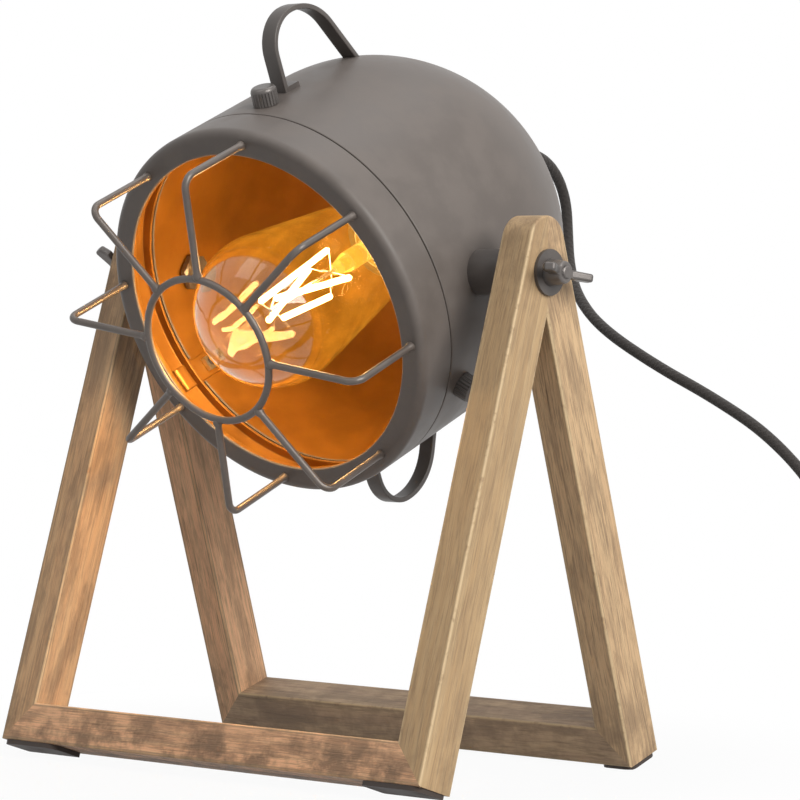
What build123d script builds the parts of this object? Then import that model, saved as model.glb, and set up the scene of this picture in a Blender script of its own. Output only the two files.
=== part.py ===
"""A bedside lamp: a caged drum head that tilts between two A-shaped sides of a wooden stand.

Row frame: millimetres, +Z up, the floor at z = 0, the tilt axis along X above the origin, the opening towards -Y.
Head pieces are drawn with the drum's axis level along -Y and the tilt axis through the origin, then tilted and lifted.
"""

import os
from math import atan2, ceil, cos, degrees, hypot, pi, radians, sin, sqrt, tan

from build123d import *

# Wooden stand
leg_width = 17.0
stock_depth = 22.6
rail_height = 18.5
frame_lean = 17.8
heel_spread = 67.1
heel_height = 1.2
apex_radius = 12.7
wood_edge = 1.0

# Pads under the foot corners
pad_length = 34.0
back_pad_length = 18.0
pad_thickness = 2.2
pad_inset = 0.6
pad_corner = 5.0

# Tilt pivot
pivot_height = 229.8
head_tilt = 23.0
bolt_radius = 3.0
bolt_head_flats = 10.0
bolt_head_height = 4.0
bolt_tail = 1.2
head_washer_radius = 7.0
head_washer_thickness = 1.2
spacer_radius = 10.5
spacer_length = 20.5
cheek_washer_radius = 10.5
cheek_washer_thickness = 1.6
wing_hub_radius = 6.2
wing_hub_height = 8.5
wing_span = 34.0
wing_thickness = 3.8
wing_width = 7.5
wing_flare = 5.0
wing_rounding = 1.1
right_wing_turn = -10.0
left_wing_turn = -46.0

# Clearances
turning_gap = 0.08
face_gap = 0.1
slip_gap = 0.3
weld_gap = 0.05

# Drum shell
drum_radius = 90.0
drum_wall = 1.2
drum_front = 28.7
dome_start = -35.0
dome_flat_radius = 12.0
lip_width = 6.0

# Bezel that closes the drum
bezel_front = 51.1
seam_gap = 0.6
bezel_face_width = 11.8
bezel_corner = 4.0
bezel_return = 3.4
tab_width = 12.0
tab_overlap = 9.0
tab_tail = 6.0
tab_angles = (2.4, 122.4, 242.4)
notch_gap = 0.5

# Thumbscrews through the drum wall
thumbscrew_station = 16.5
thumbscrew_radius = 2.0
thumbscrew_reach = 3.0
knob_radius = 6.1
knob_height = 8.6
knob_rounding = 2.0
knob_ridges = 24
knob_ridge_depth = 0.25
tab_nut_size = 7.0
tab_nut_height = 2.4

# Wire guard
wire_radius = 1.7
wire_count = 8
wire_first_angle = 10.0
wire_inset = 6.0
guard_front = 92.4
wire_bend = 6.0
ring_radius = 34.8

# Strap loops
strap_width = 8.2
strap_thickness = 2.5
strap_front = 2.0
strap_back_corner = -33.0
strap_back_foot = -53.0
strap_height = 36.0
lower_strap_height = 31.6
strap_front_bend = 19.0
strap_back_bend = 30.0
strap_foot = 9.0
lower_strap_shift = 7.0

# Filament bulb, distances along the drum's axis from the tilt axis
bulb_centre = 45.0
bulb_radius = 36.5
bulb_wall = 1.0
bulb_waist = -14.0
bulb_waist_radius = 27.5
bulb_neck = -38.0
bulb_neck_radius = 14.6
cap_length = 25.0
cap_radius = 13.2
stem_radius = 5.0
stem_tip = -2.0
stem_taper = 10.0
stem_flare = 8.0
filament_count = 4
filament_radius = 1.1
filament_length = 46.0
filament_back_circle = 12.0
filament_front_circle = 7.0
filament_first_angle = 12.0
filament_twist = -68.0

# Lampholder, threaded tube and strain relief
holder_radius = 19.5
holder_wall = 1.8
holder_length = 40.0
holder_cap_length = 14.0
holder_gap = 0.6
contact_wall = 0.5
insert_height = 10.0
tube_radius = 5.0
tube_bore = 3.6
tube_nut_flats = 14.0
tube_nut_height = 4.0
relief_length = 20.0
relief_collar = 6.0
relief_collar_radius = 8.0
relief_tip_radius = 4.4
lead_radius = 1.1

# Cord
cord_radius = 2.75
cord_run_share = 0.45
lead_first_run = 11.0

# In-line switch, lying along X on the floor
switch_length = 62.0
switch_width = 27.0
switch_height = 15.0
switch_wall = 1.8
switch_entry = (286.0, 139.0)
switch_grip = 5.5
rocker_length = 21.0
rocker_width = 10.0
rocker_axle_radius = 1.3
rocker_throw = 14.0
switch_screw_radius = 2.4
contact_offset = 12.0
contact_length = 9.0
contact_width = 4.0
contact_post = 5.0

# Put-away coil, its tie and the plug
coil_centre = (356.65, 79.5)
coil_mean_radius = 31.0
coil_turns = 6
coil_pitch = 6.1
tie_width = 8.0
tie_thickness = 0.8
tie_gap = 0.8
tail_length = 42.0
coil_approach = 17.8
plug_width = 35.3
plug_height = 13.7
plug_length = 34.0
plug_corner = 4.0
plug_grip_width = 14.0
plug_end_width = 10.0
plug_end_height = 9.0
plug_pin_radius = 2.0
plug_pin_length = 19.0
plug_pin_spacing = 19.0

# Free route of the cord from the strain relief to the in-line switch, points chosen by hand
lead_route = [
    (0.0, 160.1, 291.3),
    (0.0, 175.4, 283.2),
    (0.3, 184.3, 268.4),
    (1.5, 184.2, 250.0),
    (7.5, 178.0, 234.0),
    (22.0, 166.0, 218.5),
    (44.0, 156.5, 203.5),
    (80.0, 152.0, 186.0),
    (116.0, 149.6, 171.0),
    (150.0, 146.6, 154.0),
    (180.0, 144.5, 128.0),
    (199.0, 143.0, 94.0),
    (208.0, 141.8, 58.0),
    (216.0, 141.0, 30.0),
    (229.0, 140.2, 12.5),
    (244.0, 139.7, 4.2),
    (262.0, 139.2, 2.4),
    (276.5, 139.0, 7.5),
]

# Route from the switch round to the coil, points chosen by hand
link_route = [
    (360.5, 139.0, 7.5),
    (377.1, 132.1, 6.4),
    (389.9, 119.4, 5.1),
]

# What the sizes above give
pivot = Vector(0, 0, pivot_height)
lean_angle = radians(frame_lean)
side_inner = drum_radius + spacer_length + face_gap
stand_width = 2 * (side_inner + leg_width)
lip_inner_radius = drum_radius - lip_width
bezel_face_radius = drum_radius - bezel_face_width
wire_circle_radius = drum_radius - wire_inset
bezel_wall = drum_wall + slip_gap
bezel_back = drum_front + seam_gap
tab_inner_radius = drum_radius - drum_wall - slip_gap - drum_wall
tube_end = dome_start - sqrt(drum_radius**2 - dome_flat_radius**2)
holder_front = bulb_neck - holder_gap
holder_back = holder_front - holder_length
holder_end = holder_back - holder_cap_length
cap_end = bulb_neck - cap_length
relief_start = tube_end - weld_gap
relief_end = relief_start - relief_length
coil_height = tie_thickness + slip_gap + cord_radius
switch_axis = switch_height / 2
plug_axis = plug_height / 2


def head(shape):
    """Tilts a head piece and lifts it to the pivot."""
    return Pos(pivot) * Rot(head_tilt, 0, 0) * shape


def head_point(along, across, up):
    """A point of the head in the row frame, from its distance forward, to the right and up."""
    return head(Vertex(across, -along, up)).center()


def around(shape, angle):
    """Turns a piece about the drum's axis, clockwise as seen from in front of the opening."""
    return Rot(0, angle, 0) * shape


def turned(points):
    """A solid of revolution about the drum's axis, from (radius, distance forward) corners."""
    outline = Polyline(*[(r, -s) for r, s in points], close=True)
    return revolve(make_face(outline), Axis.Y)


def axial_rod(radius, start, end):
    """A round rod along the drum's axis."""
    return Pos(0, -(start + end) / 2, 0) * Rot(90, 0, 0) * Cylinder(radius, abs(end - start))


def cross_rod(radius, start, end):
    """A round rod along X."""
    return Pos((start + end) / 2, 0, 0) * Rot(0, 90, 0) * Cylinder(radius, abs(end - start))


def cross_hexagon(flats, start, end):
    """A hexagonal prism along X."""
    prism = extrude(RegularPolygon(flats / 2, 6, major_radius=False), abs(end - start) / 2, both=True)
    return Pos((start + end) / 2, 0, 0) * Rot(0, 90, 0) * prism


def axial_nut(flats, bore, start, end):
    """A hexagonal nut along the drum's axis."""
    prism = extrude(RegularPolygon(flats / 2, 6, major_radius=False), (start - end) / 2, both=True)
    return Pos(0, -(start + end) / 2, 0) * Rot(90, 0, 0) * prism - axial_rod(bore, start + 1, end - 1)


def lean_point(along, out):
    """A point (y, z) of the front frame's side view, up its slope and out from its inner face."""
    return (
        -heel_spread + along * sin(lean_angle) - out * cos(lean_angle),
        heel_height + along * cos(lean_angle) + out * sin(lean_angle),
    )


def side_frame():
    """Both legs of the right side as one, with the rounded apex and the pivot hole."""
    heel = lean_point(0, 0)
    toe = lean_point(0, stock_depth)
    crotch = (0, heel[1] + heel_spread / tan(lean_angle))
    peak = toe[1] - toe[0] / tan(lean_angle)
    centre = peak - apex_radius / sin(lean_angle)
    shoulder = (-apex_radius * cos(lean_angle), centre + apex_radius * sin(lean_angle))
    front = Polyline(crotch, heel, toe, shoulder)
    back = Polyline(*[(-y, z) for y, z in (shoulder, toe, heel, crotch)])
    crown = ThreePointArc(shoulder, (0, centre + apex_radius), (-shoulder[0], shoulder[1]))
    side = extrude(Plane.YZ * make_face([*front.edges(), *crown.edges(), *back.edges()]), leg_width)
    rims = [e for e in side.edges() if e.length > pad_length or e.geom_type == GeomType.CIRCLE]
    rims = [e for e in rims if abs(e.tangent_at(0).X) < 0.5]
    side = Pos(side_inner, 0, 0) * fillet(rims, wood_edge)
    return side - Pos(pivot) * cross_rod(bolt_radius + turning_gap, 0, stand_width)


def frame_plane():
    """The front frame's inner face: local x to the right, local y up the slope, local z out to the front."""
    heel = lean_point(0, 0)
    return Plane(
        origin=(0, heel[0], heel[1]),
        x_dir=(1, 0, 0),
        z_dir=(0, -cos(lean_angle), sin(lean_angle)),
    )


def mitre_block():
    """The space of the front rail between its two mitres, deeper than the stock on every side."""
    half = stand_width / 2
    spare = stock_depth
    slope = leg_width / rail_height
    outline = Polyline(
        (-half - spare * slope, -spare),
        (half + spare * slope, -spare),
        (half - leg_width, rail_height),
        (-half + leg_width, rail_height),
        close=True,
    )
    return extrude(frame_plane() * make_face(outline), 2 * stock_depth, both=True)


def front_rail():
    """The bottom rail of the front frame, mitred at both ends."""
    bar = Box(stand_width, rail_height, stock_depth, align=(Align.CENTER, Align.MIN, Align.MIN))
    bar = fillet(bar.edges().filter_by(Axis.X), wood_edge)
    return frame_plane().location * bar & mitre_block()


def front_right_leg():
    """The right leg of the front frame, from its mitre to the glued face in the apex."""
    keep = Box(stand_width, heel_spread * 2, pivot_height * 3, align=(Align.CENTER, Align.MAX, Align.CENTER))
    return side_frame() & keep - mitre_block()


def foot_pad(length):
    """The pad under the front right corner, trimmed flat where it meets the floor."""
    depth = stock_depth - 2 * pad_inset
    face = Pos(stand_width / 2 - pad_inset - length / 2, stock_depth / 2) * RectangleRounded(
        length, depth, pad_corner
    )
    heel = lean_point(0, 0)
    under = Plane(
        origin=(0, heel[0], heel[1]),
        x_dir=(1, 0, 0),
        z_dir=(0, -sin(lean_angle), -cos(lean_angle)),
    )
    pad = under.location * extrude(face, pad_thickness)
    floor = Box(4 * stand_width, 4 * stand_width, stand_width, align=(Align.CENTER, Align.CENTER, Align.MAX))
    return pad - floor


def drum_shell():
    """The spun drum: straight wall, round back with a flat for the tube, and a turned-in front lip."""
    inner = drum_radius - drum_wall
    hole = tube_radius + slip_gap
    flat_out = dome_start - sqrt(drum_radius**2 - dome_flat_radius**2)
    flat_in = flat_out + drum_wall
    reach_in = dome_start - flat_in
    flat_in_radius = sqrt(inner**2 - reach_in**2)
    knee = sqrt(0.5)
    outer_arc = ThreePointArc(
        (drum_radius, -dome_start),
        (drum_radius * knee, -dome_start + drum_radius * knee),
        (dome_flat_radius, -flat_out),
    )
    inner_arc = ThreePointArc(
        (flat_in_radius, -flat_in),
        (inner * knee, -dome_start + inner * knee),
        (inner, -dome_start),
    )
    front = Polyline(
        (inner, -dome_start),
        (inner, -drum_front + drum_wall),
        (lip_inner_radius, -drum_front + drum_wall),
        (lip_inner_radius, -drum_front),
        (drum_radius, -drum_front),
        (drum_radius, -dome_start),
    )
    back = Polyline(
        (dome_flat_radius, -flat_out), (hole, -flat_out), (hole, -flat_in), (flat_in_radius, -flat_in)
    )
    shell = revolve(
        make_face([*outer_arc.edges(), *back.edges(), *inner_arc.edges(), *front.edges()]), Axis.Y
    )
    shell -= cross_rod(bolt_radius + turning_gap, -2 * drum_radius, 2 * drum_radius)
    screw_hole = Pos(0, -thumbscrew_station, drum_radius) * Cylinder(
        thumbscrew_radius + turning_gap, 6 * drum_wall
    )
    notch = Pos(0, -drum_front, tab_inner_radius + drum_wall + weld_gap) * Box(
        tab_width + 2 * notch_gap, 4 * drum_wall, drum_radius / 4, align=(Align.CENTER, Align.CENTER, Align.MAX)
    )
    for angle in tab_angles:
        shell -= around(screw_hole, angle)
        shell -= around(notch, angle)
    return shell.solid()


def bezel_tab():
    """One tab, rolled to the drum's curve, with a slot open to the back for its thumbscrew."""
    front, back = bezel_back + tab_overlap, thumbscrew_station - tab_tail
    outer = tab_inner_radius + drum_wall
    ring = axial_rod(outer, back, front) - axial_rod(tab_inner_radius, back - 1, front + 1)
    strip = Pos(0, 0, drum_radius) * Box(tab_width, 4 * drum_radius, drum_radius)
    slot_width = 2 * (thumbscrew_radius + slip_gap)
    slot = Pos(0, -thumbscrew_station, drum_radius) * Cylinder(slot_width / 2, drum_radius / 2)
    slot += Pos(0, -thumbscrew_station + tab_tail, drum_radius) * Box(
        slot_width, 2 * tab_tail, drum_radius / 2
    )
    return (ring & strip) - slot


def bezel():
    """The bezel: outer band, rounded front corner, flat face with a short return, turned-in back edge, tabs."""
    face_back = bezel_front - bezel_wall
    band_inner = drum_radius - bezel_wall
    straight = Polyline(
        (lip_inner_radius, -bezel_back),
        (drum_radius, -bezel_back),
        (drum_radius, -bezel_front + bezel_corner),
    )
    slant = sqrt(0.5)
    corner = ThreePointArc(
        (drum_radius, -bezel_front + bezel_corner),
        (
            drum_radius - bezel_corner * (1 - slant),
            -bezel_front + bezel_corner * (1 - slant),
        ),
        (drum_radius - bezel_corner, -bezel_front),
    )
    inside = Polyline(
        (drum_radius - bezel_corner, -bezel_front),
        (bezel_face_radius, -bezel_front),
        (bezel_face_radius, -bezel_front + bezel_return),
        (bezel_face_radius + bezel_wall, -bezel_front + bezel_return),
        (bezel_face_radius + bezel_wall, -face_back),
        (drum_radius - bezel_corner, -face_back),
    )
    fold = bezel_corner - bezel_wall
    inner_corner = ThreePointArc(
        (drum_radius - bezel_corner, -face_back),
        (band_inner - fold * (1 - slant), -face_back + fold * (1 - slant)),
        (band_inner, -bezel_front + bezel_corner),
    )
    wall = Polyline(
        (band_inner, -bezel_front + bezel_corner),
        (band_inner, -bezel_back - bezel_wall),
        (lip_inner_radius, -bezel_back - bezel_wall),
        (lip_inner_radius, -bezel_back),
    )
    outline = [*straight.edges(), *corner.edges(), *inside.edges(), *inner_corner.edges(), *wall.edges()]
    ring = revolve(make_face(outline), Axis.Y)
    return ring.fuse(*[around(bezel_tab(), angle) for angle in tab_angles]).clean()


def guard_ring():
    """The small front ring of the wire guard."""
    return Pos(0, -guard_front, 0) * Rot(90, 0, 0) * Torus(ring_radius, wire_radius)


def guard_wire(angle):
    """One guard wire: forward from the bezel's face, then bent in to the ring."""
    path = FilletPolyline(
        (0, -bezel_front, wire_circle_radius),
        (0, -guard_front, wire_circle_radius),
        (0, -guard_front, ring_radius),
        radius=wire_bend,
    )
    wire = sweep(Plane(path @ 0, z_dir=path % 0) * Circle(wire_radius), path)
    cutter = Pos(0, -guard_front, 0) * Rot(90, 0, 0) * Torus(ring_radius, wire_radius + weld_gap)
    inside = axial_rod(ring_radius, guard_front - 3 * wire_radius, guard_front + 3 * wire_radius)
    return around(wire - cutter - inside, angle)


def thumbscrew():
    """One thumbscrew: ridged knob outside the drum, shank through the wall, tab and nut."""
    grip_height = knob_height - knob_rounding
    groove = Pos(knob_radius, 0) * Rot(0, 0, 45) * Rectangle(knob_ridge_depth * 2, knob_ridge_depth * 2)
    grooves = [Rot(0, 0, turn * 360 / knob_ridges) * groove for turn in range(knob_ridges)]
    grip = extrude(Circle(knob_radius) - grooves, grip_height)
    crown = Cylinder(
        knob_radius - knob_ridge_depth / 2, knob_rounding + slip_gap, align=(Align.CENTER, Align.CENTER, Align.MIN)
    )
    crown = fillet(crown.edges().filter_by(GeomType.CIRCLE).sort_by(Axis.Z)[-1], knob_rounding)
    knob = grip + Pos(0, 0, grip_height - slip_gap) * crown
    seat = drum_radius + face_gap
    foot = tab_inner_radius - slip_gap - tab_nut_height - thumbscrew_reach
    shank = Cylinder(thumbscrew_radius, seat - foot + 1, align=(Align.CENTER, Align.CENTER, Align.MIN))
    return Pos(0, -thumbscrew_station, 0) * (Pos(0, 0, seat) * knob + Pos(0, 0, foot) * shank)


def tab_nut():
    """The square nut inside the drum that clamps a tab."""
    top = tab_inner_radius * cos(tab_nut_size / 2 / tab_inner_radius) - slip_gap
    nut = Box(tab_nut_size, tab_nut_size, tab_nut_height, align=(Align.CENTER, Align.CENTER, Align.MAX))
    nut -= Cylinder(thumbscrew_radius + turning_gap, 3 * tab_nut_height)
    return Pos(0, -thumbscrew_station, top) * nut


def strap_path(height, shift):
    """Centre line of a strap loop in the drum's mid-plane, as (forward, up) corners with its bends."""
    top = drum_radius + height - strap_thickness / 2
    front = strap_front - strap_thickness / 2 + shift
    return FilletPolyline(
        (0, -front, drum_radius),
        (0, -front, top),
        (0, -strap_back_corner - shift, top),
        (0, -strap_back_foot - shift, drum_radius - strap_thickness),
        radius=[strap_front_bend, strap_back_bend],
    )


def strap(height, shift):
    """One strap loop: a flat strip bent into a handle, with its front foot turned back on the drum."""
    path = strap_path(height, shift)
    strip = sweep(
        Plane(path @ 0, x_dir=(1, 0, 0), z_dir=path % 0) * Rectangle(strap_width, strap_thickness), path
    )
    front = strap_front - strap_thickness / 2 + shift
    foot_ring = axial_rod(drum_radius + weld_gap + strap_thickness, front, front - strap_foot)
    foot = foot_ring & Pos(0, 0, drum_radius) * Box(strap_width, 4 * drum_radius, drum_radius)
    loop = strip + foot
    loop -= axial_rod(drum_radius + weld_gap, drum_radius, dome_start)
    return loop - Pos(0, -dome_start, 0) * Sphere(drum_radius + weld_gap)


def pivot_bolt():
    """The right pivot bolt: hex head inside the drum, shank out to the wing nut."""
    inner = drum_radius - drum_wall
    washer_face = sqrt(inner**2 - head_washer_radius**2) - weld_gap
    head_face = washer_face - head_washer_thickness - weld_gap
    end = stand_width / 2 + cheek_washer_thickness + wing_hub_height + bolt_tail
    bolt = cross_hexagon(bolt_head_flats, head_face - bolt_head_height, head_face)
    return bolt + cross_rod(bolt_radius, head_face - 1, end)


def head_washer():
    """The bright washer between hex head and drum wall on the right."""
    face = sqrt((drum_radius - drum_wall) ** 2 - head_washer_radius**2) - weld_gap
    ring = cross_rod(head_washer_radius, face - head_washer_thickness, face)
    return ring - cross_rod(bolt_radius + turning_gap, 0, stand_width)


def spacer():
    """The tube that holds the drum clear of the wood on the right, saddled to the drum."""
    tube = cross_rod(spacer_radius, drum_radius / 2, side_inner - face_gap)
    tube -= cross_rod(bolt_radius + turning_gap, 0, stand_width)
    return tube - axial_rod(drum_radius + weld_gap, 2 * spacer_radius, -2 * spacer_radius)


def cheek_washer():
    """The washer on the outside of the right apex."""
    start = stand_width / 2 + face_gap
    ring = cross_rod(cheek_washer_radius, start, start + cheek_washer_thickness)
    return ring - cross_rod(bolt_radius + turning_gap, 0, stand_width)


def wing_nut():
    """The right wing nut: tapered hub and two flared wings, level at rest."""
    start = stand_width / 2 + cheek_washer_thickness + 2 * face_gap
    hub = Pos(start, 0, 0) * Rot(0, 90, 0) * Cone(
        wing_hub_radius, wing_hub_radius * 0.8, wing_hub_height, align=(Align.CENTER, Align.CENTER, Align.MIN)
    )
    half = wing_span / 2
    root = wing_hub_radius / 2
    outline = Polyline(
        (start + 1.0, root),
        (start + wing_hub_height * 0.4, wing_hub_radius),
        (start + wing_flare, half - wing_width * 0.5),
        (start + wing_flare + wing_width * 0.5, half),
        (start + wing_flare + wing_width * 1.1, half - wing_width * 0.3),
        (start + wing_hub_height, wing_hub_radius * 0.8),
        (start + wing_hub_height, root),
        close=True,
    )
    blank = make_face(outline)
    wing = extrude(blank, wing_thickness / 2, both=True)
    outer = [e for e in wing.edges().filter_by(Axis.Z) if e.center().Y > wing_hub_radius + 1]
    wing = fillet(outer, wing_width * 0.2)
    rims = [e for e in wing.edges() if e.center().Y > wing_hub_radius and e % 0 != Vector(0, 0, 1)]
    rims = [e for e in rims if abs(abs(e.center().Z) - wing_thickness / 2) < turning_gap]
    wing = fillet(rims, wing_rounding)
    hub = fillet(hub.edges().filter_by(GeomType.CIRCLE).sort_by(Axis.X)[-1], wing_rounding)
    nut = hub + wing + mirror(wing, Plane.XZ)
    return nut - cross_rod(bolt_radius + turning_gap, 0, stand_width)


def bulb_profile(offset):
    """The glass outline as (radius, forward) edges: round front, cone to the waist, flare to the neck."""
    radius = bulb_radius - offset
    slope = atan2(bulb_radius - bulb_waist_radius, bulb_centre - bulb_waist)
    side = (radius * cos(slope), -(bulb_centre - radius * sin(slope)))
    tip = (0, -(bulb_centre + radius))
    mid = radius * sqrt(0.5)
    dome = ThreePointArc(tip, (mid, -(bulb_centre + mid)), side)
    waist = (bulb_waist_radius - offset, -bulb_waist)
    cone = Line(side, waist)
    neck = (bulb_neck_radius - offset, -bulb_neck)
    flare = Spline([waist, neck], tangents=[cone % 1, (0, 1)])
    return dome, cone, flare


def bulb_glass():
    """The blown envelope, open at the neck where the cap holds it."""
    outer, inner = bulb_profile(0), bulb_profile(bulb_wall)
    tip = Line(inner[0] @ 0, outer[0] @ 0)
    rim = Line(outer[2] @ 1, inner[2] @ 1)
    edges = [tip.edge(), rim.edge(), *[c.edge() for c in (*outer, *inner)]]
    return revolve(make_face(edges), Axis.Y)


def bulb_cap():
    """The screw cap: a thin round shell closed towards its tip."""
    wall = contact_wall
    return turned(
        [
            (bulb_neck_radius + 0.4, bulb_neck - weld_gap),
            (bulb_neck_radius + 0.4, bulb_neck - 2.0),
            (cap_radius, bulb_neck - 3.5),
            (cap_radius, cap_end + 4.0),
            (cap_radius - 3.0, cap_end + 1.0),
            (cap_radius - 3.0 - wall, cap_end + 1.0),
            (cap_radius - wall, cap_end + 4.0),
            (cap_radius - wall, bulb_neck - weld_gap),
        ]
    )


def cap_insulator():
    """The black insulating ring at the end of the cap."""
    return turned(
        [
            (0, cap_end + 3.0),
            (cap_radius - 3.0 - contact_wall - weld_gap, cap_end + 3.0),
            (cap_radius - 3.0 - contact_wall - weld_gap, cap_end + 0.9),
            (5.0, cap_end - 1.0),
            (0, cap_end - 1.0),
        ]
    )


def cap_contact():
    """The tip contact of the bulb."""
    return turned([(0, cap_end - 1.0), (4.6, cap_end - 1.0), (3.6, cap_end - 2.0), (0, cap_end - 2.0)])


def bulb_stem():
    """The glass stem inside the neck with its flared foot."""
    inner = bulb_neck_radius - bulb_wall - weld_gap
    return turned(
        [
            (0, stem_tip),
            (stem_radius * 0.5, stem_tip),
            (stem_radius, stem_tip - stem_taper),
            (stem_radius, bulb_neck + stem_flare),
            (inner, bulb_neck + 1.0),
            (inner, bulb_neck),
            (0, bulb_neck),
        ]
    )


def filament_ends(turn):
    """Both ends of one filament, from the circle near the stem to the smaller one near the front."""
    angle = radians(turn * 360 / filament_count + filament_first_angle)
    far = angle + radians(filament_twist)
    back = stem_tip + 2.0
    low = (filament_back_circle * sin(angle), -back, filament_back_circle * cos(angle))
    high = (
        filament_front_circle * sin(far),
        -back - filament_length,
        filament_front_circle * cos(far),
    )
    return Vector(*low), Vector(*high)


def filaments():
    """The straight light-giving rods, as separate solids."""
    rods = []
    for turn in range(filament_count):
        low, high = filament_ends(turn)
        axis = high - low
        rods.append(Plane(low, z_dir=axis).location * Cylinder(
            filament_radius, axis.length, align=(Align.CENTER, Align.CENTER, Align.MIN)
        ))
    return Compound(rods)


def filament_supports():
    """Star of wires on the stem that carries the filaments' back ends, and the front hoop."""
    wire = 0.35
    hub = axial_rod(wire * 3, stem_tip + 0.1, stem_tip + 2.0 + filament_length)
    pieces = []
    for turn in range(filament_count):
        for point in filament_ends(turn):
            start = Vector(0, point.Y, 0)
            arm = point - start
            reach = arm.length - filament_radius - weld_gap
            pieces.append(Plane(start, z_dir=arm).location * Cylinder(
                wire, reach, align=(Align.CENTER, Align.CENTER, Align.MIN)
            ))
    return hub.fuse(*pieces)


def contact_shell():
    """The threaded contact shell of the lampholder."""
    bore = cap_radius + face_gap * 3
    back = cap_end + 1.0
    return axial_rod(bore + contact_wall, back, holder_front - 4.0) - axial_rod(bore, back - 1, holder_front)


def holder_shell():
    """The lampholder's outer shell with a turned-in mouth."""
    mouth = bulb_neck_radius + 0.4 + slip_gap
    inner = holder_radius - holder_wall
    return turned(
        [
            (mouth, holder_front),
            (holder_radius - 1.0, holder_front),
            (holder_radius, holder_front - 1.0),
            (holder_radius, holder_back),
            (inner, holder_back),
            (inner, holder_front - 3.0),
            (mouth, holder_front - 3.0),
        ]
    )


def holder_insert():
    """The insulating insert that carries both contacts."""
    radius = holder_radius - holder_wall - face_gap
    back = cap_end - 5.0 - insert_height
    body = axial_rod(radius, back, cap_end - 5.0)
    body += axial_rod(cap_radius + 3.0, back, cap_end + 0.9) - axial_rod(cap_radius - 1.0, back - 1, cap_end + 2)
    return body


def centre_contact():
    """The sprung centre contact under the bulb's tip."""
    blade = Pos(0, -(cap_end - 4.9), 0) * Box(8.0, 0.4, 5.0, align=(Align.CENTER, Align.MAX, Align.CENTER))
    dome = turned([(0, cap_end - 2.1), (2.0, cap_end - 2.5), (2.6, cap_end - 4.6), (0, cap_end - 4.6)])
    return blade + dome


def holder_cap():
    """The closing cap of the lampholder, bored for the threaded tube."""
    wall = holder_wall
    bore = tube_radius + turning_gap
    return turned(
        [
            (holder_radius, holder_back - weld_gap),
            (holder_radius, holder_back - 3.0),
            (holder_radius * 0.55, holder_end),
            (bore, holder_end),
            (bore, holder_end + wall * 2),
            (holder_radius * 0.5, holder_end + wall * 2),
            (holder_radius - wall, holder_back - 3.0),
            (holder_radius - wall, holder_back - weld_gap),
        ]
    )


def threaded_tube():
    """The tube that joins the lampholder to the dome and passes the leads."""
    start, end = holder_end + 2 * holder_wall, relief_start - relief_collar * 0.6
    return axial_rod(tube_radius, start, end) - axial_rod(tube_bore, start + 1, end - 1)


def tube_lock_nut():
    """The nut inside the dome."""
    face = tube_end + drum_wall + weld_gap
    return axial_nut(tube_nut_flats, tube_radius + turning_gap, face + tube_nut_height, face)


def strain_relief():
    """The collar and tapered boot over the tube's end, holding the cord."""
    screwed = relief_start - relief_collar * 0.6 - weld_gap
    bore = tube_radius + turning_gap
    boot = turned(
        [
            (bore, relief_start),
            (relief_collar_radius, relief_start),
            (relief_collar_radius, relief_start - relief_collar),
            (relief_collar_radius * 0.78, relief_start - relief_collar - 1.0),
            (relief_tip_radius, relief_end),
            (0, relief_end),
            (0, screwed),
            (bore, screwed),
        ]
    )
    return boot


def inner_leads():
    """The two insulated leads in the tube, between the strain relief and the lampholder."""
    start, end = cap_end - 5.0 - insert_height, relief_start - relief_collar * 0.6
    offset = lead_radius + 0.3
    return Compound([Pos(side * offset, 0, 0) * axial_rod(lead_radius, start, end) for side in (-1, 1)])


def bend_radii(points):
    """The largest tangent arc at each inner corner that leaves a tenth of the shorter run straight."""
    radii = []
    for before, corner, after in zip(points, points[1:], points[2:]):
        arriving, leaving = Vector(*corner) - Vector(*before), Vector(*after) - Vector(*corner)
        turn = radians(arriving.get_angle(leaving))
        radii.append(cord_run_share * min(arriving.length, leaving.length) / tan(turn / 2))
    return radii


def cord_tube(name, points):
    """A tube along straight runs and tangent arcs, with its radii and its volume against its length."""
    radii = bend_radii(points)
    path = FilletPolyline(*points, radius=radii) if radii else Line(*points)
    tube = sweep(Plane(path @ 0, z_dir=path % 0) * Circle(cord_radius), path)
    share = tube.volume / (pi * cord_radius**2 * path.length)
    print(name, "length", round(path.length, 1), "radii", [round(r) for r in radii], "volume share", round(share, 4))
    return tube


def coil_points():
    """Quarter-turn points and directions of the coil: in on the lower layer, out on the upper one."""
    layer_turns = coil_turns / 2
    outer = coil_mean_radius + coil_pitch * layer_turns / 2
    stations = []
    for quarter in range(4 * coil_turns + 1):
        turns = quarter / 4
        inward = min(turns, layer_turns + 0.25)
        climb = min(max((turns - layer_turns) * 2, 0.0), 1.0)
        outward = max(turns - layer_turns - 0.25, 0.0)
        radius = outer - coil_pitch * inward + coil_pitch * outward
        angle = -2 * pi * turns
        height = coil_height + coil_pitch * climb * climb * (3 - 2 * climb)
        stations.append(
            Vector(
                coil_centre[0] + radius * cos(angle),
                coil_centre[1] + radius * sin(angle),
                height,
            )
        )
    return stations


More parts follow.
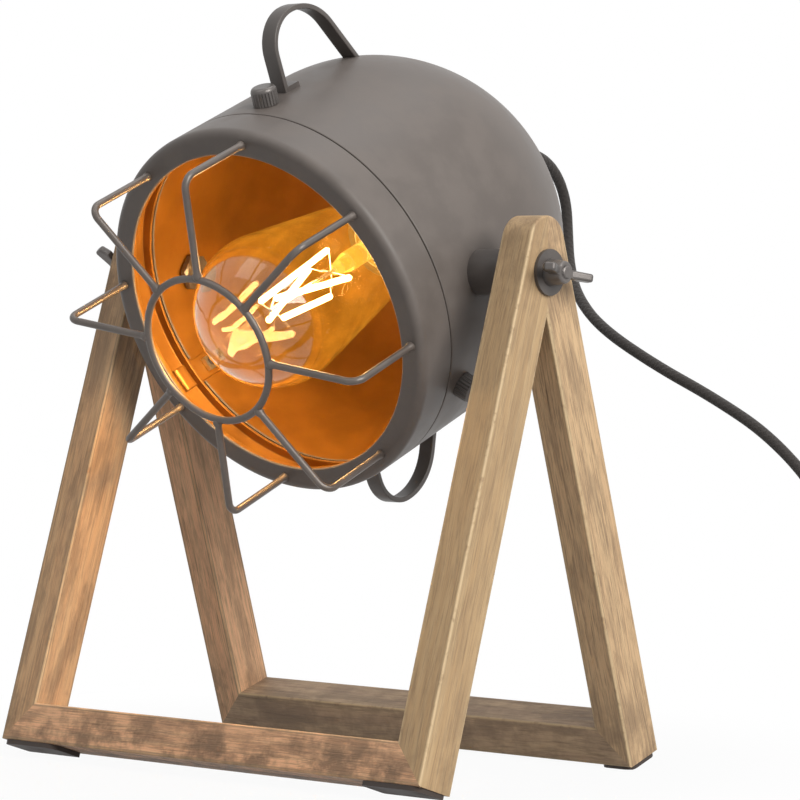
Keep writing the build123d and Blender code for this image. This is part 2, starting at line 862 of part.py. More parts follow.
def coil_directions(stations):
    """The tangent at each quarter-turn point, level at both ends."""
    directions = []
    for index, here in enumerate(stations):
        before, after = stations[max(index - 1, 0)], stations[min(index + 1, len(stations) - 1)]
        angle = -pi / 2 * index
        level = Vector(sin(angle), -cos(angle), 0)
        rise = (after.Z - before.Z) / (pi * coil_mean_radius)
        drift = (
            hypot(after.X - coil_centre[0], after.Y - coil_centre[1])
            - hypot(before.X - coil_centre[0], before.Y - coil_centre[1])
        ) / (pi * coil_mean_radius)
        inner = 0 < index < len(stations) - 1
        outward = Vector(cos(angle), sin(angle), 0)
        directions.append((level + Vector(0, 0, rise if inner else 0) + outward * (drift if inner else 0)).normalized())
    return directions


def biarc(start, start_way, end, end_way):
    """Two tangent arcs from one point and direction to the next."""
    gap, ways = end - start, start_way + end_way
    bend = 2 * (1 - start_way.dot(end_way))
    along = gap.dot(ways)
    length = (sqrt(along**2 + bend * gap.dot(gap)) - along) / bend
    middle = (start + start_way * length + end - end_way * length) * 0.5
    first = Edge.make_tangent_arc(start, start_way, middle)
    second = Edge.make_tangent_arc(middle, first % 1, end)
    return [first, second]


def coil_wire():
    """The centre line of the coil with a short straight end on each side."""
    stations = coil_points()
    ways = coil_directions(stations)
    edges = []
    for index in range(len(stations) - 1):
        edges += biarc(stations[index], ways[index], stations[index + 1], ways[index + 1])
    straight = 2 * cord_radius
    lead_in = Edge.make_line(stations[0] - ways[0] * straight, stations[0])
    lead_out = Edge.make_line(stations[-1], stations[-1] + ways[-1] * straight)
    return Wire([lead_in, *edges, lead_out])


def coil_gap(wire):
    """The least gap of the coil to itself, measured on points a diameter apart."""
    step = cord_radius
    count = ceil(wire.length / step)
    points = [wire.position_at(i / count) for i in range(count + 1)]
    apart = int(6 * cord_radius / step)
    nearest = min(
        (points[i] - points[j]).length for i in range(len(points)) for j in range(i + apart, len(points))
    )
    return nearest - 2 * cord_radius


def cord_coil():
    """The put-away length of the cord as one wound tube."""
    wire = coil_wire()
    tube = sweep(Plane(wire @ 0, z_dir=wire % 0) * Circle(cord_radius), wire)
    share = tube.volume / (pi * cord_radius**2 * wire.length)
    print("coil length", round(wire.length), "gap", round(coil_gap(wire), 2), "volume share", round(share, 4))
    return tube


def cord_tie():
    """The flat tie round the bundle of turns, on the side away from the cord's ends."""
    spread = coil_pitch * (coil_turns - 1) / 2 + 2 * cord_radius + 2 * tie_gap
    height = coil_height + coil_pitch + cord_radius + tie_gap - tie_thickness
    hole = RectangleRounded(spread, height, cord_radius)
    band = RectangleRounded(spread + 2 * tie_thickness, height + 2 * tie_thickness, cord_radius + tie_thickness)
    loop = extrude(Plane.XZ * (band - hole), tie_width / 2, both=True)
    middle = coil_centre[0] - coil_mean_radius + coil_pitch / 4
    return Pos(middle, coil_centre[1], height / 2 + tie_thickness) * loop


def switch_place():
    """The in-line switch's frame: origin on the floor under its middle, local x along the cord."""
    return Pos(switch_entry[0] + switch_length / 2, switch_entry[1], 0)


def switch_block(height, base):
    """A rounded block of the switch's outline."""
    outline = RectangleRounded(switch_length, switch_width, switch_width * 0.28)
    return Pos(0, 0, base) * extrude(outline, height)


def switch_cord_hole():
    """The round hole for the cord through both ends."""
    return Pos(0, 0, switch_axis) * Rot(0, 90, 0) * Cylinder(cord_radius + face_gap, 2 * switch_length)


def switch_cavity(low, high):
    """The hollow between the walls."""
    outline = RectangleRounded(
        switch_length - 8 * switch_wall, switch_width - 2 * switch_wall, switch_width * 0.15
    )
    return Pos(0, 0, low) * extrude(outline, high - low)


def switch_lower():
    """The lower half of the in-line switch's housing."""
    block = switch_block(switch_axis - weld_gap, 0)
    block = chamfer(block.faces().sort_by(Axis.Z)[0].edges(), 1.0)
    block -= switch_cavity(switch_wall, switch_height)
    return switch_place() * (block - switch_cord_hole() - screw_bores())


def switch_upper():
    """The upper half of the housing, with the rocker's well and its bearings."""
    block = switch_block(switch_height - switch_axis, switch_axis)
    block = fillet(block.faces().sort_by(Axis.Z)[-1].edges(), 3.0)
    block -= switch_cavity(0, switch_height - switch_wall)
    well_length = rocker_length + 2 * slip_gap
    well_width = rocker_width + 2 * slip_gap
    well = Box(
        well_length + 2 * switch_wall, well_width + 2 * switch_wall, switch_height - switch_axis - 0.5,
        align=(Align.CENTER, Align.CENTER, Align.MAX),
    )
    block += Pos(0, 0, switch_height - 0.5) * well
    block -= Pos(0, 0, switch_height) * Box(well_length, well_width, 2 * switch_height)
    bearing = Rot(90, 0, 0) * Cylinder(rocker_axle_radius + turning_gap, well_width + switch_wall)
    block -= Pos(0, 0, rocker_axis_height()) * bearing
    return switch_place() * (block - switch_cord_hole() - screw_bores())


def rocker_axis_height():
    """The rocker's axle above the floor."""
    return switch_height - 3.0


def switch_rocker():
    """The rocker, resting with its far end pressed down, on a short axle."""
    half = rocker_length / 2 - 0.6
    rise = half * tan(radians(rocker_throw / 2))
    outline = Polyline(
        (-half, -2.0),
        (half, -2.0),
        (half, 1.5 + rise),
        (0, 1.5),
        (-half, 1.5 + rise),
        close=True,
    )
    body = extrude(Plane.XZ * make_face(outline), rocker_width / 2, both=True)
    axle = Rot(90, 0, 0) * Cylinder(rocker_axle_radius, rocker_width + 2 * slip_gap + switch_wall - face_gap)
    tilted = Rot(0, rocker_throw / 2, 0) * (body + axle)
    return switch_place() * Pos(0, 0, rocker_axis_height()) * tilted


def switch_contacts():
    """The two contact blades in the lower half."""
    third = contact_length / 3
    blade = Box(contact_length, contact_width, tie_thickness, align=(Align.CENTER, Align.CENTER, Align.MIN))
    post = Box(third, contact_width, contact_post, align=(Align.CENTER, Align.CENTER, Align.MIN))
    one = blade + Pos(third, 0, 0) * post
    pair = [
        Pos(contact_offset, 0, switch_wall) * one,
        Pos(-contact_offset, 0, switch_wall) * Rot(0, 0, 180) * one,
    ]
    return switch_place() * Compound(pair)


def switch_screws():
    """The two housing screws, from below, beside the cord."""
    screw = Cylinder(switch_screw_radius, switch_wall, align=(Align.CENTER, Align.CENTER, Align.MIN))
    screw += Cylinder(switch_screw_radius / 2, switch_axis + 2.0, align=(Align.CENTER, Align.CENTER, Align.MIN))
    slot = Box(switch_screw_radius * 1.4, 0.6, 1.0)
    place = switch_length / 2 - 3.6
    side = cord_radius + 3.4
    screws = [Pos(end * place, end * side, 0.3) * (screw - slot) for end in (-1, 1)]
    return switch_place() * Compound(screws)


def screw_bores():
    """Clearance for the housing screws."""
    bore = Pos(0, 0, -1) * Cylinder(
        switch_screw_radius + 0.1, switch_wall + 1.4, align=(Align.CENTER, Align.CENTER, Align.MIN)
    )
    bore += Cylinder(switch_screw_radius / 2 + turning_gap, switch_axis + 2.5, align=(Align.CENTER, Align.CENTER, Align.MIN))
    place = switch_length / 2 - 3.6
    side = cord_radius + 3.4
    return Pos(place, side, 0) * bore + Pos(-place, -side, 0) * bore


def plug_place():
    """The plug's frame: its cord end at the tail's far end, pins towards -Y."""
    exit_x = coil_points()[-1].X
    return Pos(exit_x, coil_centre[1] - 2 * cord_radius - tail_length, plug_axis)


def plug_body():
    """The flat two-pin plug: a wide front block drawn in to a round cord grip."""
    front = Plane.XZ.offset(plug_length) * RectangleRounded(plug_width, plug_height - 0.2, plug_corner)
    shoulder = Plane.XZ.offset(plug_length * 0.55) * RectangleRounded(plug_width * 0.92, plug_height - 0.2, plug_corner)
    grip = Plane.XZ.offset(plug_length * 0.2) * RectangleRounded(
        plug_grip_width, plug_height * 0.8, plug_corner
    )
    end = Plane.XZ * RectangleRounded(plug_end_width, plug_end_height, plug_corner)
    body = loft([front, shoulder], ruled=True) + loft([shoulder, grip, end], ruled=True)
    for side in (-1, 1):
        body -= Pos(side * plug_pin_spacing / 2, -plug_length, 0) * Rot(90, 0, 0) * Cylinder(
            plug_pin_radius, plug_length * 0.6
        )
    return plug_place() * body


def plug_pins():
    """The two round pins, held in the front block."""
    start, end = plug_length * 0.7, plug_length + plug_pin_length
    pin = Rot(90, 0, 0) * Cylinder(
        plug_pin_radius, end - start, align=(Align.CENTER, Align.CENTER, Align.MIN)
    )
    pin = fillet(pin.edges().sort_by(Axis.Y)[0], plug_pin_radius * 0.6)
    return plug_place() * Compound([Pos(side * plug_pin_spacing / 2, -start, 0) * pin for side in (-1, 1)])


def left_of(shape):
    """The same piece on the left side."""
    return mirror(shape, Plane.YZ)


def behind(shape):
    """The same piece of the back frame."""
    return mirror(shape, Plane.XZ)


def save(name, shape):
    """Writes one node."""
    export_step(shape, os.path.join("parts", name + ".step"))


def build_stand():
    """Frames, pads, cheek washers."""
    rail, leg = front_rail(), front_right_leg()
    pad, back_pad = foot_pad(pad_length), behind(foot_pad(back_pad_length))
    save("front_rail", rail)
    save("back_rail", behind(rail))
    save("front_right_leg", leg)
    save("front_left_leg", left_of(leg))
    save("back_right_leg", behind(leg))
    save("back_left_leg", behind(left_of(leg)))
    save("foot_pads", Compound([pad, left_of(pad), back_pad, left_of(back_pad)]))
    washer = Pos(pivot) * cheek_washer()
    save("cheek_washers", Compound([washer, left_of(washer)]))


def build_pivots():
    """Bolts, washers, spacers and wing nuts."""
    for name, piece in (
        ("pivot_bolts", pivot_bolt()),
        ("head_washers", head_washer()),
        ("pivot_spacers", spacer()),
    ):
        save(name, head(Compound([piece, left_of(piece)])))
    nut = wing_nut()
    save("wing_nut_right", Pos(pivot) * Rot(right_wing_turn, 0, 0) * nut)
    save("wing_nut_left", Pos(pivot) * left_of(Rot(left_wing_turn, 0, 0) * nut))


def build_drum():
    """Drum, bezel, guard, thumbscrews and straps."""
    save("drum_shell", head(drum_shell()))
    save("bezel", head(bezel()))
    save("guard_ring", head(guard_ring()))
    for number in range(wire_count):
        angle = wire_first_angle + number * 360 / wire_count
        save(f"guard_wire_{number + 1}", head(guard_wire(angle)))
    knob, nut = thumbscrew(), tab_nut()
    for place, angle in zip(("top", "right", "left"), tab_angles):
        save("thumbscrew_" + place, head(around(knob, angle)))
    save("tab_nuts", head(Compound([around(nut, angle) for angle in tab_angles])))
    save("top_strap", head(strap(strap_height, 0)))
    save("bottom_strap", head(mirror(strap(lower_strap_height, lower_strap_shift), Plane.XY)))


def build_bulb():
    """The bulb's pieces."""
    for name, piece in (
        ("bulb_glass", bulb_glass()),
        ("bulb_cap", bulb_cap()),
        ("cap_insulator", cap_insulator()),
        ("cap_contact", cap_contact()),
        ("bulb_stem", bulb_stem()),
        ("filaments", filaments()),
        ("filament_supports", filament_supports()),
    ):
        save(name, head(piece))


def build_holder():
    """Lampholder, tube, leads and strain relief."""
    for name, piece in (
        ("holder_shell", holder_shell()),
        ("holder_cap", holder_cap()),
        ("holder_insert", holder_insert()),
        ("contact_shell", contact_shell()),
        ("centre_contact", centre_contact()),
        ("threaded_tube", threaded_tube()),
        ("tube_lock_nut", tube_lock_nut()),
        ("strain_relief", strain_relief()),
        ("inner_leads", inner_leads()),
    ):
        save(name, head(piece))


def build_cord():
    """Free stretches, switch, coil, tie and plug."""
    start, first = head_point(relief_end, 0, 0), head_point(relief_end - lead_first_run, 0, 0)
    lead_end = (switch_entry[0] + switch_grip, switch_entry[1], switch_axis)
    save("cord_lead", cord_tube("cord_lead", [tuple(start), tuple(first), *lead_route, lead_end]))
    link_start = (switch_entry[0] + switch_length - switch_grip, switch_entry[1], switch_axis)
    coil_start = coil_wire() @ 0
    approach = (coil_start.X, coil_start.Y + coil_approach, coil_start.Z)
    save("cord_link", cord_tube("cord_link", [link_start, *link_route, approach, tuple(coil_start)]))
    save("cord_coil", cord_coil())
    coil_end = coil_wire() @ 1
    plug = plug_place().position
    tail_route = [
        tuple(coil_end),
        (coil_end.X, coil_end.Y - tail_length * 0.3, coil_end.Z),
        (coil_end.X, plug.Y + tail_length * 0.3, plug.Z),
        tuple(plug),
    ]
    save("cord_tail", cord_tube("cord_tail", tail_route))
    save("cord_tie", cord_tie())
    save("switch_lower", switch_lower())
    save("switch_upper", switch_upper())
    save("switch_rocker", switch_rocker())
    save("switch_contacts", switch_contacts())
    save("switch_screws", switch_screws())
    save("plug_body", plug_body())
    save("plug_pins", plug_pins())


os.makedirs("parts", exist_ok=True)
build_stand()
build_pivots()
build_drum()
build_bulb()
build_holder()
build_cord()
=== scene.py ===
"""The looks of a bedside lamp: a wire-guarded drum head that tilts in an A-shaped wooden stand.

Every length is in metres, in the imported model's frame: +Z up, X along the tilt axis, the opening towards -Y.
"""

import logging
from dataclasses import dataclass, field, replace
from enum import Enum
from math import cos, pi, radians, sin
from typing import Any

import bmesh
import bpy
import numpy as np
from mathutils import Matrix, Vector
from numpy.typing import NDArray


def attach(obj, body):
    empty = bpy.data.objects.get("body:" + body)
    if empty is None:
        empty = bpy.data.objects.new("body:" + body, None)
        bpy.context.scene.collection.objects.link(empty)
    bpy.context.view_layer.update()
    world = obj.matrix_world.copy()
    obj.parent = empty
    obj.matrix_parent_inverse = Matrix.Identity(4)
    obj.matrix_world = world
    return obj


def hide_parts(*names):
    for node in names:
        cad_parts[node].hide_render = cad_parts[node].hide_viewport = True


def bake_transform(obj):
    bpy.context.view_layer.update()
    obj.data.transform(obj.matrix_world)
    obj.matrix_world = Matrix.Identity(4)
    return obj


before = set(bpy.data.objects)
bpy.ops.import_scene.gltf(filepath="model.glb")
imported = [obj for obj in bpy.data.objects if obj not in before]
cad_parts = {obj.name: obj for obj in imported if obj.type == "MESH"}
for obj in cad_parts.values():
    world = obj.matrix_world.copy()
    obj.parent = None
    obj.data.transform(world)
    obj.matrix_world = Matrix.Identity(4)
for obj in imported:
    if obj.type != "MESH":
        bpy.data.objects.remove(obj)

log = logging.getLogger("bedside_lamp")
Points = NDArray[np.float64]
Colour = tuple[float, float, float]


# Shader building


class Graph:
    """Adds and joins nodes in one node tree."""

    def __init__(self, tree: bpy.types.NodeTree) -> None:
        """Keeps the tree that the nodes go in."""
        self.tree = tree

    def add(self, kind: str, **values: Any) -> bpy.types.Node:
        """Adds a node and sets its own options.

        Args:
            kind: the node's type name.
            **values: options of the node, by name.

        Returns:
            The new node.
        """
        node = self.tree.nodes.new(kind)
        for name, value in values.items():
            setattr(node, name, value)
        return node

    def feed(self, socket: bpy.types.NodeSocket, value: Any) -> None:
        """Links a socket to another socket, or sets it to a plain value."""
        if isinstance(value, bpy.types.NodeSocket):
            self.tree.links.new(value, socket)
        elif isinstance(value, tuple) and len(value) == 3 and socket.type == "RGBA":
            socket.default_value = (*value, 1.0)
        else:
            socket.default_value = value

    def fill(self, node: bpy.types.Node, **values: Any) -> bpy.types.Node:
        """Feeds inputs of a node by name, with _ for a space, and hands the node back."""
        for name, value in values.items():
            self.feed(node.inputs[name.replace("_", " ")], value)
        return node

    def result(self, node: bpy.types.Node, *values: Any) -> bpy.types.NodeSocket:
        """Feeds a node's inputs in order and returns its first output."""
        for socket, value in zip(node.inputs, values):
            self.feed(socket, value)
        return node.outputs[0]

    def math(self, operation: str, *values: Any, clamp: bool = False) -> bpy.types.NodeSocket:
        """A Math node's result.

        Args:
            operation: the node's operation.
            *values: sockets or numbers, in order.
            clamp: whether the result is held between 0 and 1.

        Returns:
            The value socket.
        """
        return self.result(self.add("ShaderNodeMath", operation=operation, use_clamp=clamp), *values)

    def times(self, first: Any, second: Any) -> bpy.types.NodeSocket:
        """The product of two numbers."""
        return self.math("MULTIPLY", first, second)

    def blend(self, share: Any, first: Any, second: Any) -> bpy.types.NodeSocket:
        """Mixes two colours.

        Args:
            share: how much of the second colour, 0 to 1.
            first: the first colour.
            second: the second colour.

        Returns:
            The mixed colour's socket.
        """
        node = self.add("ShaderNodeMix", data_type="RGBA")
        for index, value in ((0, share), (6, first), (7, second)):
            self.feed(node.inputs[index], value)
        return node.outputs[2]

    def noise(self, vector: Any, scale: float, detail: float = 3.0, roughness: float = 0.5) -> Any:
        """A noise texture's value between 0 and 1.

        Args:
            vector: where it is read.
            scale: its features per metre.
            detail: its octaves.
            roughness: how strong the finer octaves are.

        Returns:
            The value socket.
        """
        node = self.add("ShaderNodeTexNoise")
        return self.fill(node, Vector=vector, Scale=scale, Detail=detail, Roughness=roughness).outputs[0]

    def between(self, value: Any, low: float, high: float, start: float = 0.0, end: float = 1.0) -> Any:
        """Maps a value smoothly from one range to another, held at both ends.

        Args:
            value: the socket to map.
            low: the value that gives start.
            high: the value that gives end.
            start: result at low.
            end: result at high.

        Returns:
            The value socket.
        """
        node = self.add("ShaderNodeMapRange", interpolation_type="SMOOTHSTEP")
        return self.result(node, value, low, high, start, end)

    def parts(self, vector: Any) -> tuple[Any, Any, Any]:
        """The three numbers of a vector."""
        node = self.add("ShaderNodeSeparateXYZ")
        self.feed(node.inputs[0], vector)
        return node.outputs[0], node.outputs[1], node.outputs[2]

    def join(self, x: Any, y: Any, z: Any) -> Any:
        """A vector of three numbers."""
        return self.result(self.add("ShaderNodeCombineXYZ"), x, y, z)

    def mapped(self, vector: Any, shift: Any = (0, 0, 0), turn: Any = (0, 0, 0), scale: Any = (1, 1, 1)) -> Any:
        """A vector that is scaled, turned and then shifted."""
        node = self.add("ShaderNodeMapping")
        return self.fill(node, Vector=vector, Location=shift, Rotation=turn, Scale=scale).outputs[0]

    def bump(self, height: Any, strength: float, depth: float, normal: Any = None) -> Any:
        """A normal bent by a height.

        Args:
            height: the height, 0 to 1.
            strength: how much of it shows.
            depth: its size in metres.
            normal: a normal to start from, or None.

        Returns:
            The normal's socket.
        """
        node = self.fill(self.add("ShaderNodeBump"), Strength=strength, Distance=depth, Height=height)
        if normal is not None:
            self.fill(node, Normal=normal)
        return node.outputs[0]


def cleared(owner: Any) -> Graph:
    """Turns on the nodes of a material or world and empties them for a new graph."""
    owner.use_nodes = True
    owner.node_tree.nodes.clear()
    return Graph(owner.node_tree)


class SharedEffect:
    """A node group that several finishes use."""

    def __init__(self, name: str, inputs: dict[str, tuple[str, Any]], outputs: dict[str, str]) -> None:
        """Makes an empty group with its sockets.

        Args:
            name: the group's name.
            inputs: socket type and default value by name.
            outputs: socket type by name.
        """
        self.tree = bpy.data.node_groups.new(name, "ShaderNodeTree")
        for label, (kind, value) in inputs.items():
            socket = self.tree.interface.new_socket(label, in_out="INPUT", socket_type=kind)
            if value is not None:
                socket.default_value = value
        for label, kind in outputs.items():
            self.tree.interface.new_socket(label, in_out="OUTPUT", socket_type=kind)
        self.graph = Graph(self.tree)
        self.inputs = self.graph.add("NodeGroupInput").outputs
        self.outputs = self.graph.add("NodeGroupOutput").inputs

    def place(self, graph: Graph, **values: Any) -> bpy.types.Node:
        """Puts the group in a material.

        Args:
            graph: the material's graph.
            **values: its inputs by name, with _ for a space.

        Returns:
            The group node.
        """
        return graph.fill(graph.add("ShaderNodeGroup", node_tree=self.tree), **values)


def make_fine_texture() -> SharedEffect:
    """Fine grains with a broad mottling over them, for paint, plastic and metal."""
    group = SharedEffect(
        "fine_texture",
        {"Vector": ("NodeSocketVector", None), "Scale": ("NodeSocketFloat", 900.0)},
        {"Height": "NodeSocketFloat", "Mottling": "NodeSocketFloat"},
    )
    graph = group.graph
    grains = graph.noise(group.inputs["Vector"], group.inputs["Scale"], 2.0, 0.6)
    mottling = graph.noise(group.inputs["Vector"], 60.0, 4.0, 0.55)
    graph.feed(group.outputs["Height"], grains)
    graph.feed(group.outputs["Mottling"], graph.between(mottling, 0.3, 0.7))
    return group


def make_head_place(pivot: float, tilt: float) -> SharedEffect:
    """The distance ahead of the tilt axis, along the drum's axis."""
    group = SharedEffect("head_place", {"Vector": ("NodeSocketVector", None)}, {"Ahead": "NodeSocketFloat"})
    graph = group.graph
    shift = (0.0, -pivot * sin(tilt), -pivot * cos(tilt))
    level = graph.mapped(group.inputs["Vector"], shift=shift, turn=(-tilt, 0.0, 0.0))
    graph.feed(group.outputs["Ahead"], graph.times(graph.parts(level)[1], -1.0))
    return group


def make_stock_edge() -> SharedEffect:
    """How near a point on a squared timber is to one of its four long edges, 1 at the edge.

    On the surface one of the two distances to the faces is nought, so the larger one is the distance to the edge.
    """
    group = SharedEffect(
        "stock_edge",
        {
            "Vector": ("NodeSocketVector", None),
            "Half Width": ("NodeSocketFloat", 0.0085),
            "Half Depth": ("NodeSocketFloat", 0.0113),
            "Reach": ("NodeSocketFloat", 0.002),
        },
        {"Nearness": "NodeSocketFloat"},
    )
    graph = group.graph
    across, deep, _ = graph.parts(group.inputs["Vector"])
    side = graph.math("SUBTRACT", group.inputs["Half Width"], graph.math("ABSOLUTE", across))
    face = graph.math("SUBTRACT", group.inputs["Half Depth"], graph.math("ABSOLUTE", deep))
    distance = graph.math("DIVIDE", graph.math("MAXIMUM", side, face), group.inputs["Reach"])
    graph.feed(group.outputs["Nearness"], graph.math("SUBTRACT", 1.0, distance, clamp=True))
    return group


def make_wood_grain() -> SharedEffect:
    """Grain that runs along Z, each layer a noise stretched along the grain.

    Bands are the broad growth rings, Pores the fine open pores, Streaks the dark lines and Stain the long patches where
    the stain took unevenly. Each layer has its stretch, its detail, its roughness and the range that it is spread over.
    """
    layers = {
        "Bands": ((330, 330, 6), 4.0, 0.55, 0.30, 0.70),
        "Pores": ((1700, 1700, 60), 3.0, 0.62, 0.46, 0.66),
        "Streaks": ((760, 760, 17), 6.0, 0.74, 0.50, 0.70),
        "Stain": ((120, 120, 26), 6.0, 0.66, 0.44, 0.62),
    }
    group = SharedEffect("wood_grain", {"Vector": ("NodeSocketVector", None)}, dict.fromkeys(layers, "NodeSocketFloat"))
    graph = group.graph
    vector = group.inputs["Vector"]
    sway = graph.noise(graph.mapped(vector, scale=(14, 14, 7)), 1.0, 2.0)
    bent = graph.add("ShaderNodeVectorMath", operation="MULTIPLY_ADD")
    graph.feed(bent.inputs[0], graph.join(sway, sway, 0.0))
    bent.inputs[1].default_value = (0.008, 0.008, 0.0)
    graph.feed(bent.inputs[2], vector)
    for name, (scale, detail, roughness, low, high) in layers.items():
        source = vector if name == "Stain" else bent.outputs[0]
        value = graph.noise(graph.mapped(source, scale=scale), 1.0, detail, roughness)
        graph.feed(group.outputs[name], graph.between(value, low, high))
    return group


def make_braid() -> SharedEffect:
    """Two sets of slanting strands, read from a UV map with one braid repeat per unit."""
    group = SharedEffect("braid", {"Vector": ("NodeSocketVector", None)}, {"Height": "NodeSocketFloat"})
    graph = group.graph
    along, around, _ = graph.parts(group.inputs["Vector"])
    turns = graph.times(around, 4.0)
    waves = [graph.math("SINE", graph.times(graph.math(way, along, turns), 2 * pi)) for way in ("ADD", "SUBTRACT")]
    graph.feed(group.outputs["Height"], graph.between(graph.math("MAXIMUM", *waves), -0.4, 1.0))
    return group


# Finishes


@dataclass(frozen=True)
class Finish:
    """A finish with one plain colour, fine grains in its surface and a mottled roughness."""

    colour: Colour = (0.5, 0.5, 0.5)
    roughness: float = 0.5
    metallic: float = 0.0
    variation: float = 0.12
    grain_scale: float = 900.0
    grain_depth: float = 0.00004
    specular: float = 0.5
    name: str = ""

    def start(self) -> tuple[bpy.types.Material, Graph, bpy.types.Node, Any]:
        """Makes the material.

        Returns:
            The material, its graph, its shader node and its Object coordinates.
        """
        material = bpy.data.materials.new(self.name)
        graph = cleared(material)
        shader = graph.add("ShaderNodeBsdfPrincipled")
        graph.fill(graph.add("ShaderNodeOutputMaterial"), Surface=shader.outputs[0])
        graph.fill(shader, Specular_IOR_Level=self.specular)
        place = graph.add("ShaderNodeTexCoord").outputs["Object"]
        return material, graph, shader, place

    def surface(self, graph: Graph, shader: bpy.types.Node, place: Any, effects: "Effects", colour: Any) -> Any:
        """Adds grains, mottled colour and mottled roughness.

        Args:
            graph: the material's graph.
            shader: its shader node.
            place: the coordinates to read.
            effects: the shared node groups.
            colour: the colour to vary, a socket or a plain colour.

        Returns:
            The mottling's socket.
        """
        texture = effects.fine.place(graph, Vector=place, Scale=self.grain_scale).outputs
        mottling = texture["Mottling"]
        shade = graph.between(mottling, 0.0, 1.0, 1.0 - self.variation, 1.0 + self.variation)
        scaled = graph.add("ShaderNodeVectorMath", operation="SCALE")
        graph.feed(scaled.inputs[0], colour if isinstance(colour, bpy.types.NodeSocket) else tuple(colour))
        graph.fill(scaled, Scale=shade)
        rough = graph.between(mottling, 0.0, 1.0, self.roughness * 0.88, min(1.0, self.roughness * 1.12))
        normal = graph.bump(texture["Height"], 0.5, self.grain_depth)
        graph.fill(shader, Base_Color=scaled.outputs[0], Roughness=rough, Normal=normal)
        return mottling

    def make(self, effects: "Effects") -> bpy.types.Material:
        """Builds the material."""
        material, graph, shader, place = self.start()
        graph.fill(shader, Metallic=self.metallic)
        self.surface(graph, shader, place, effects, self.colour)
        return material


@dataclass(frozen=True)
class ShellFinish(Finish):
    """Satin paint outside, gold lacquer inside: the piece's "inside" attribute says which of the two a face has.

    The lacquer is duller in worn patches and darker towards the dome, by the dome share at most, as painted shade.
    """

    inside: Colour = (0.320, 0.142, 0.023)
    inside_roughness: float = 0.36
    inside_metallic: float = 0.55
    painted_dome_shade: float = 0.40

    def make(self, effects: "Effects") -> bpy.types.Material:
        """Builds the material."""
        material, graph, shader, place = self.start()
        inner = graph.add("ShaderNodeAttribute", attribute_name="inside").outputs["Fac"]
        worn = graph.between(graph.noise(place, 26.0, 5.0, 0.62), 0.36, 0.66)
        gold = graph.blend(graph.times(worn, 0.30), self.inside, tuple(c * 0.62 for c in self.inside))
        ahead = effects.head.place(graph, Vector=place).outputs["Ahead"]
        # painted shade: darker deeper in the drum, where less of the bulb's light reaches
        thick = graph.between(ahead, -0.095, 0.020, self.painted_dome_shade, 0.0)
        gold = graph.blend(thick, gold, tuple(c * 0.12 for c in self.inside))
        mottling = self.surface(graph, shader, place, effects, graph.blend(inner, self.colour, gold))
        roughness = graph.between(mottling, 0.0, 1.0, self.roughness * 0.9, self.roughness * 1.1)
        rough = graph.math("ADD", roughness, graph.times(inner, self.inside_roughness - self.roughness))
        graph.fill(shader, Metallic=graph.times(inner, self.inside_metallic), Roughness=rough)
        return material


@dataclass(frozen=True)
class WoodFinish(Finish):
    """Brown wash on squared timber: grain along the piece, uneven stain, and a pale painted highlight on each edge.

    A darker line runs beside each edge, and soil gathers in patches where timbers meet, near the foot and the
    top. The shares, from bands to crease and soil, say how much of each layer shows.
    """

    colour: Colour = (0.44, 0.30, 0.165)
    dark: Colour = (0.125, 0.078, 0.046)
    pale: Colour = (0.64, 0.48, 0.28)
    roughness: float = 0.58
    bands: float = 0.30
    stain: float = 0.35
    streaks: float = 0.45
    pores: float = 0.35
    rubbed: float = 0.60
    crease: float = 0.45
    lean: float = 0.0
    along_x: bool = False
    middle: tuple[float, float, float] = (0.0, 0.0, 0.0)
    half_width: float = 0.0085
    half_depth: float = 0.0113
    edge_reach: float = 0.0017
    foot_joint: tuple[float, float] = (0.012, 0.045)
    top_joint: tuple[float, float] = (0.196, 0.236)
    soil: float = 0.45

    def local(self, graph: Graph, place: Any) -> Any:
        """Coordinates of the piece itself: x across its width, y through its depth, z along it."""
        centred = graph.mapped(place, shift=tuple(-c for c in self.middle))
        upright = graph.mapped(centred, turn=(self.lean, 0.0, 0.0))
        if self.along_x:
            upright = graph.mapped(upright, turn=(0.0, radians(90.0), 0.0))
        return upright

    def make(self, effects: "Effects") -> bpy.types.Material:
        """Builds the material."""
        material, graph, shader, place = self.start()
        local = self.local(graph, place)
        grain = effects.grain.place(graph, Vector=graph.mapped(local, shift=self.middle)).outputs
        sizes = {"Half_Width": self.half_width, "Half_Depth": self.half_depth, "Reach": self.edge_reach}
        edge = effects.edge.place(graph, Vector=local, **sizes).outputs["Nearness"]
        height = graph.parts(place)[2]
        near_foot = graph.between(height, *self.foot_joint, 1.0, 0.0)
        near_top = graph.between(height, *self.top_joint, 0.0, 1.0)
        patches = graph.between(graph.noise(place, 55.0, 4.0, 0.65), 0.40, 0.62)
        soil = graph.times(graph.math("MAXIMUM", near_foot, near_top), patches)
        beside = graph.times(graph.between(edge, 0.02, 0.30), graph.between(edge, 0.42, 0.70, 1.0, 0.0))
        # painted highlight: a pale line along each edge, broken up by noise
        highlight_breaks = graph.between(graph.noise(place, 240.0, 4.0, 0.65), 0.28, 0.52)
        rubbed = graph.times(graph.math("POWER", edge, 0.8), highlight_breaks)
        layers = (
            (grain["Bands"], self.bands, self.pale),
            (grain["Stain"], self.stain, self.dark),
            (grain["Streaks"], self.streaks, self.dark),
            (grain["Pores"], self.pores, self.dark),
            (soil, self.soil, self.dark),
            # a darker band just inside each edge
            (beside, self.crease, self.dark),
            (rubbed, self.rubbed, self.pale),
        )
        colour = self.colour
        for mask, share, tint in layers:
            colour = graph.blend(graph.times(mask, share), colour, tint)
        rough = graph.math("ADD", graph.times(grain["Streaks"], 0.12), self.roughness)
        relief = graph.math("SUBTRACT", graph.times(grain["Bands"], 0.6), grain["Pores"])
        graph.fill(shader, Base_Color=colour, Roughness=rough, Normal=graph.bump(relief, 0.5, 0.00018))
        return material


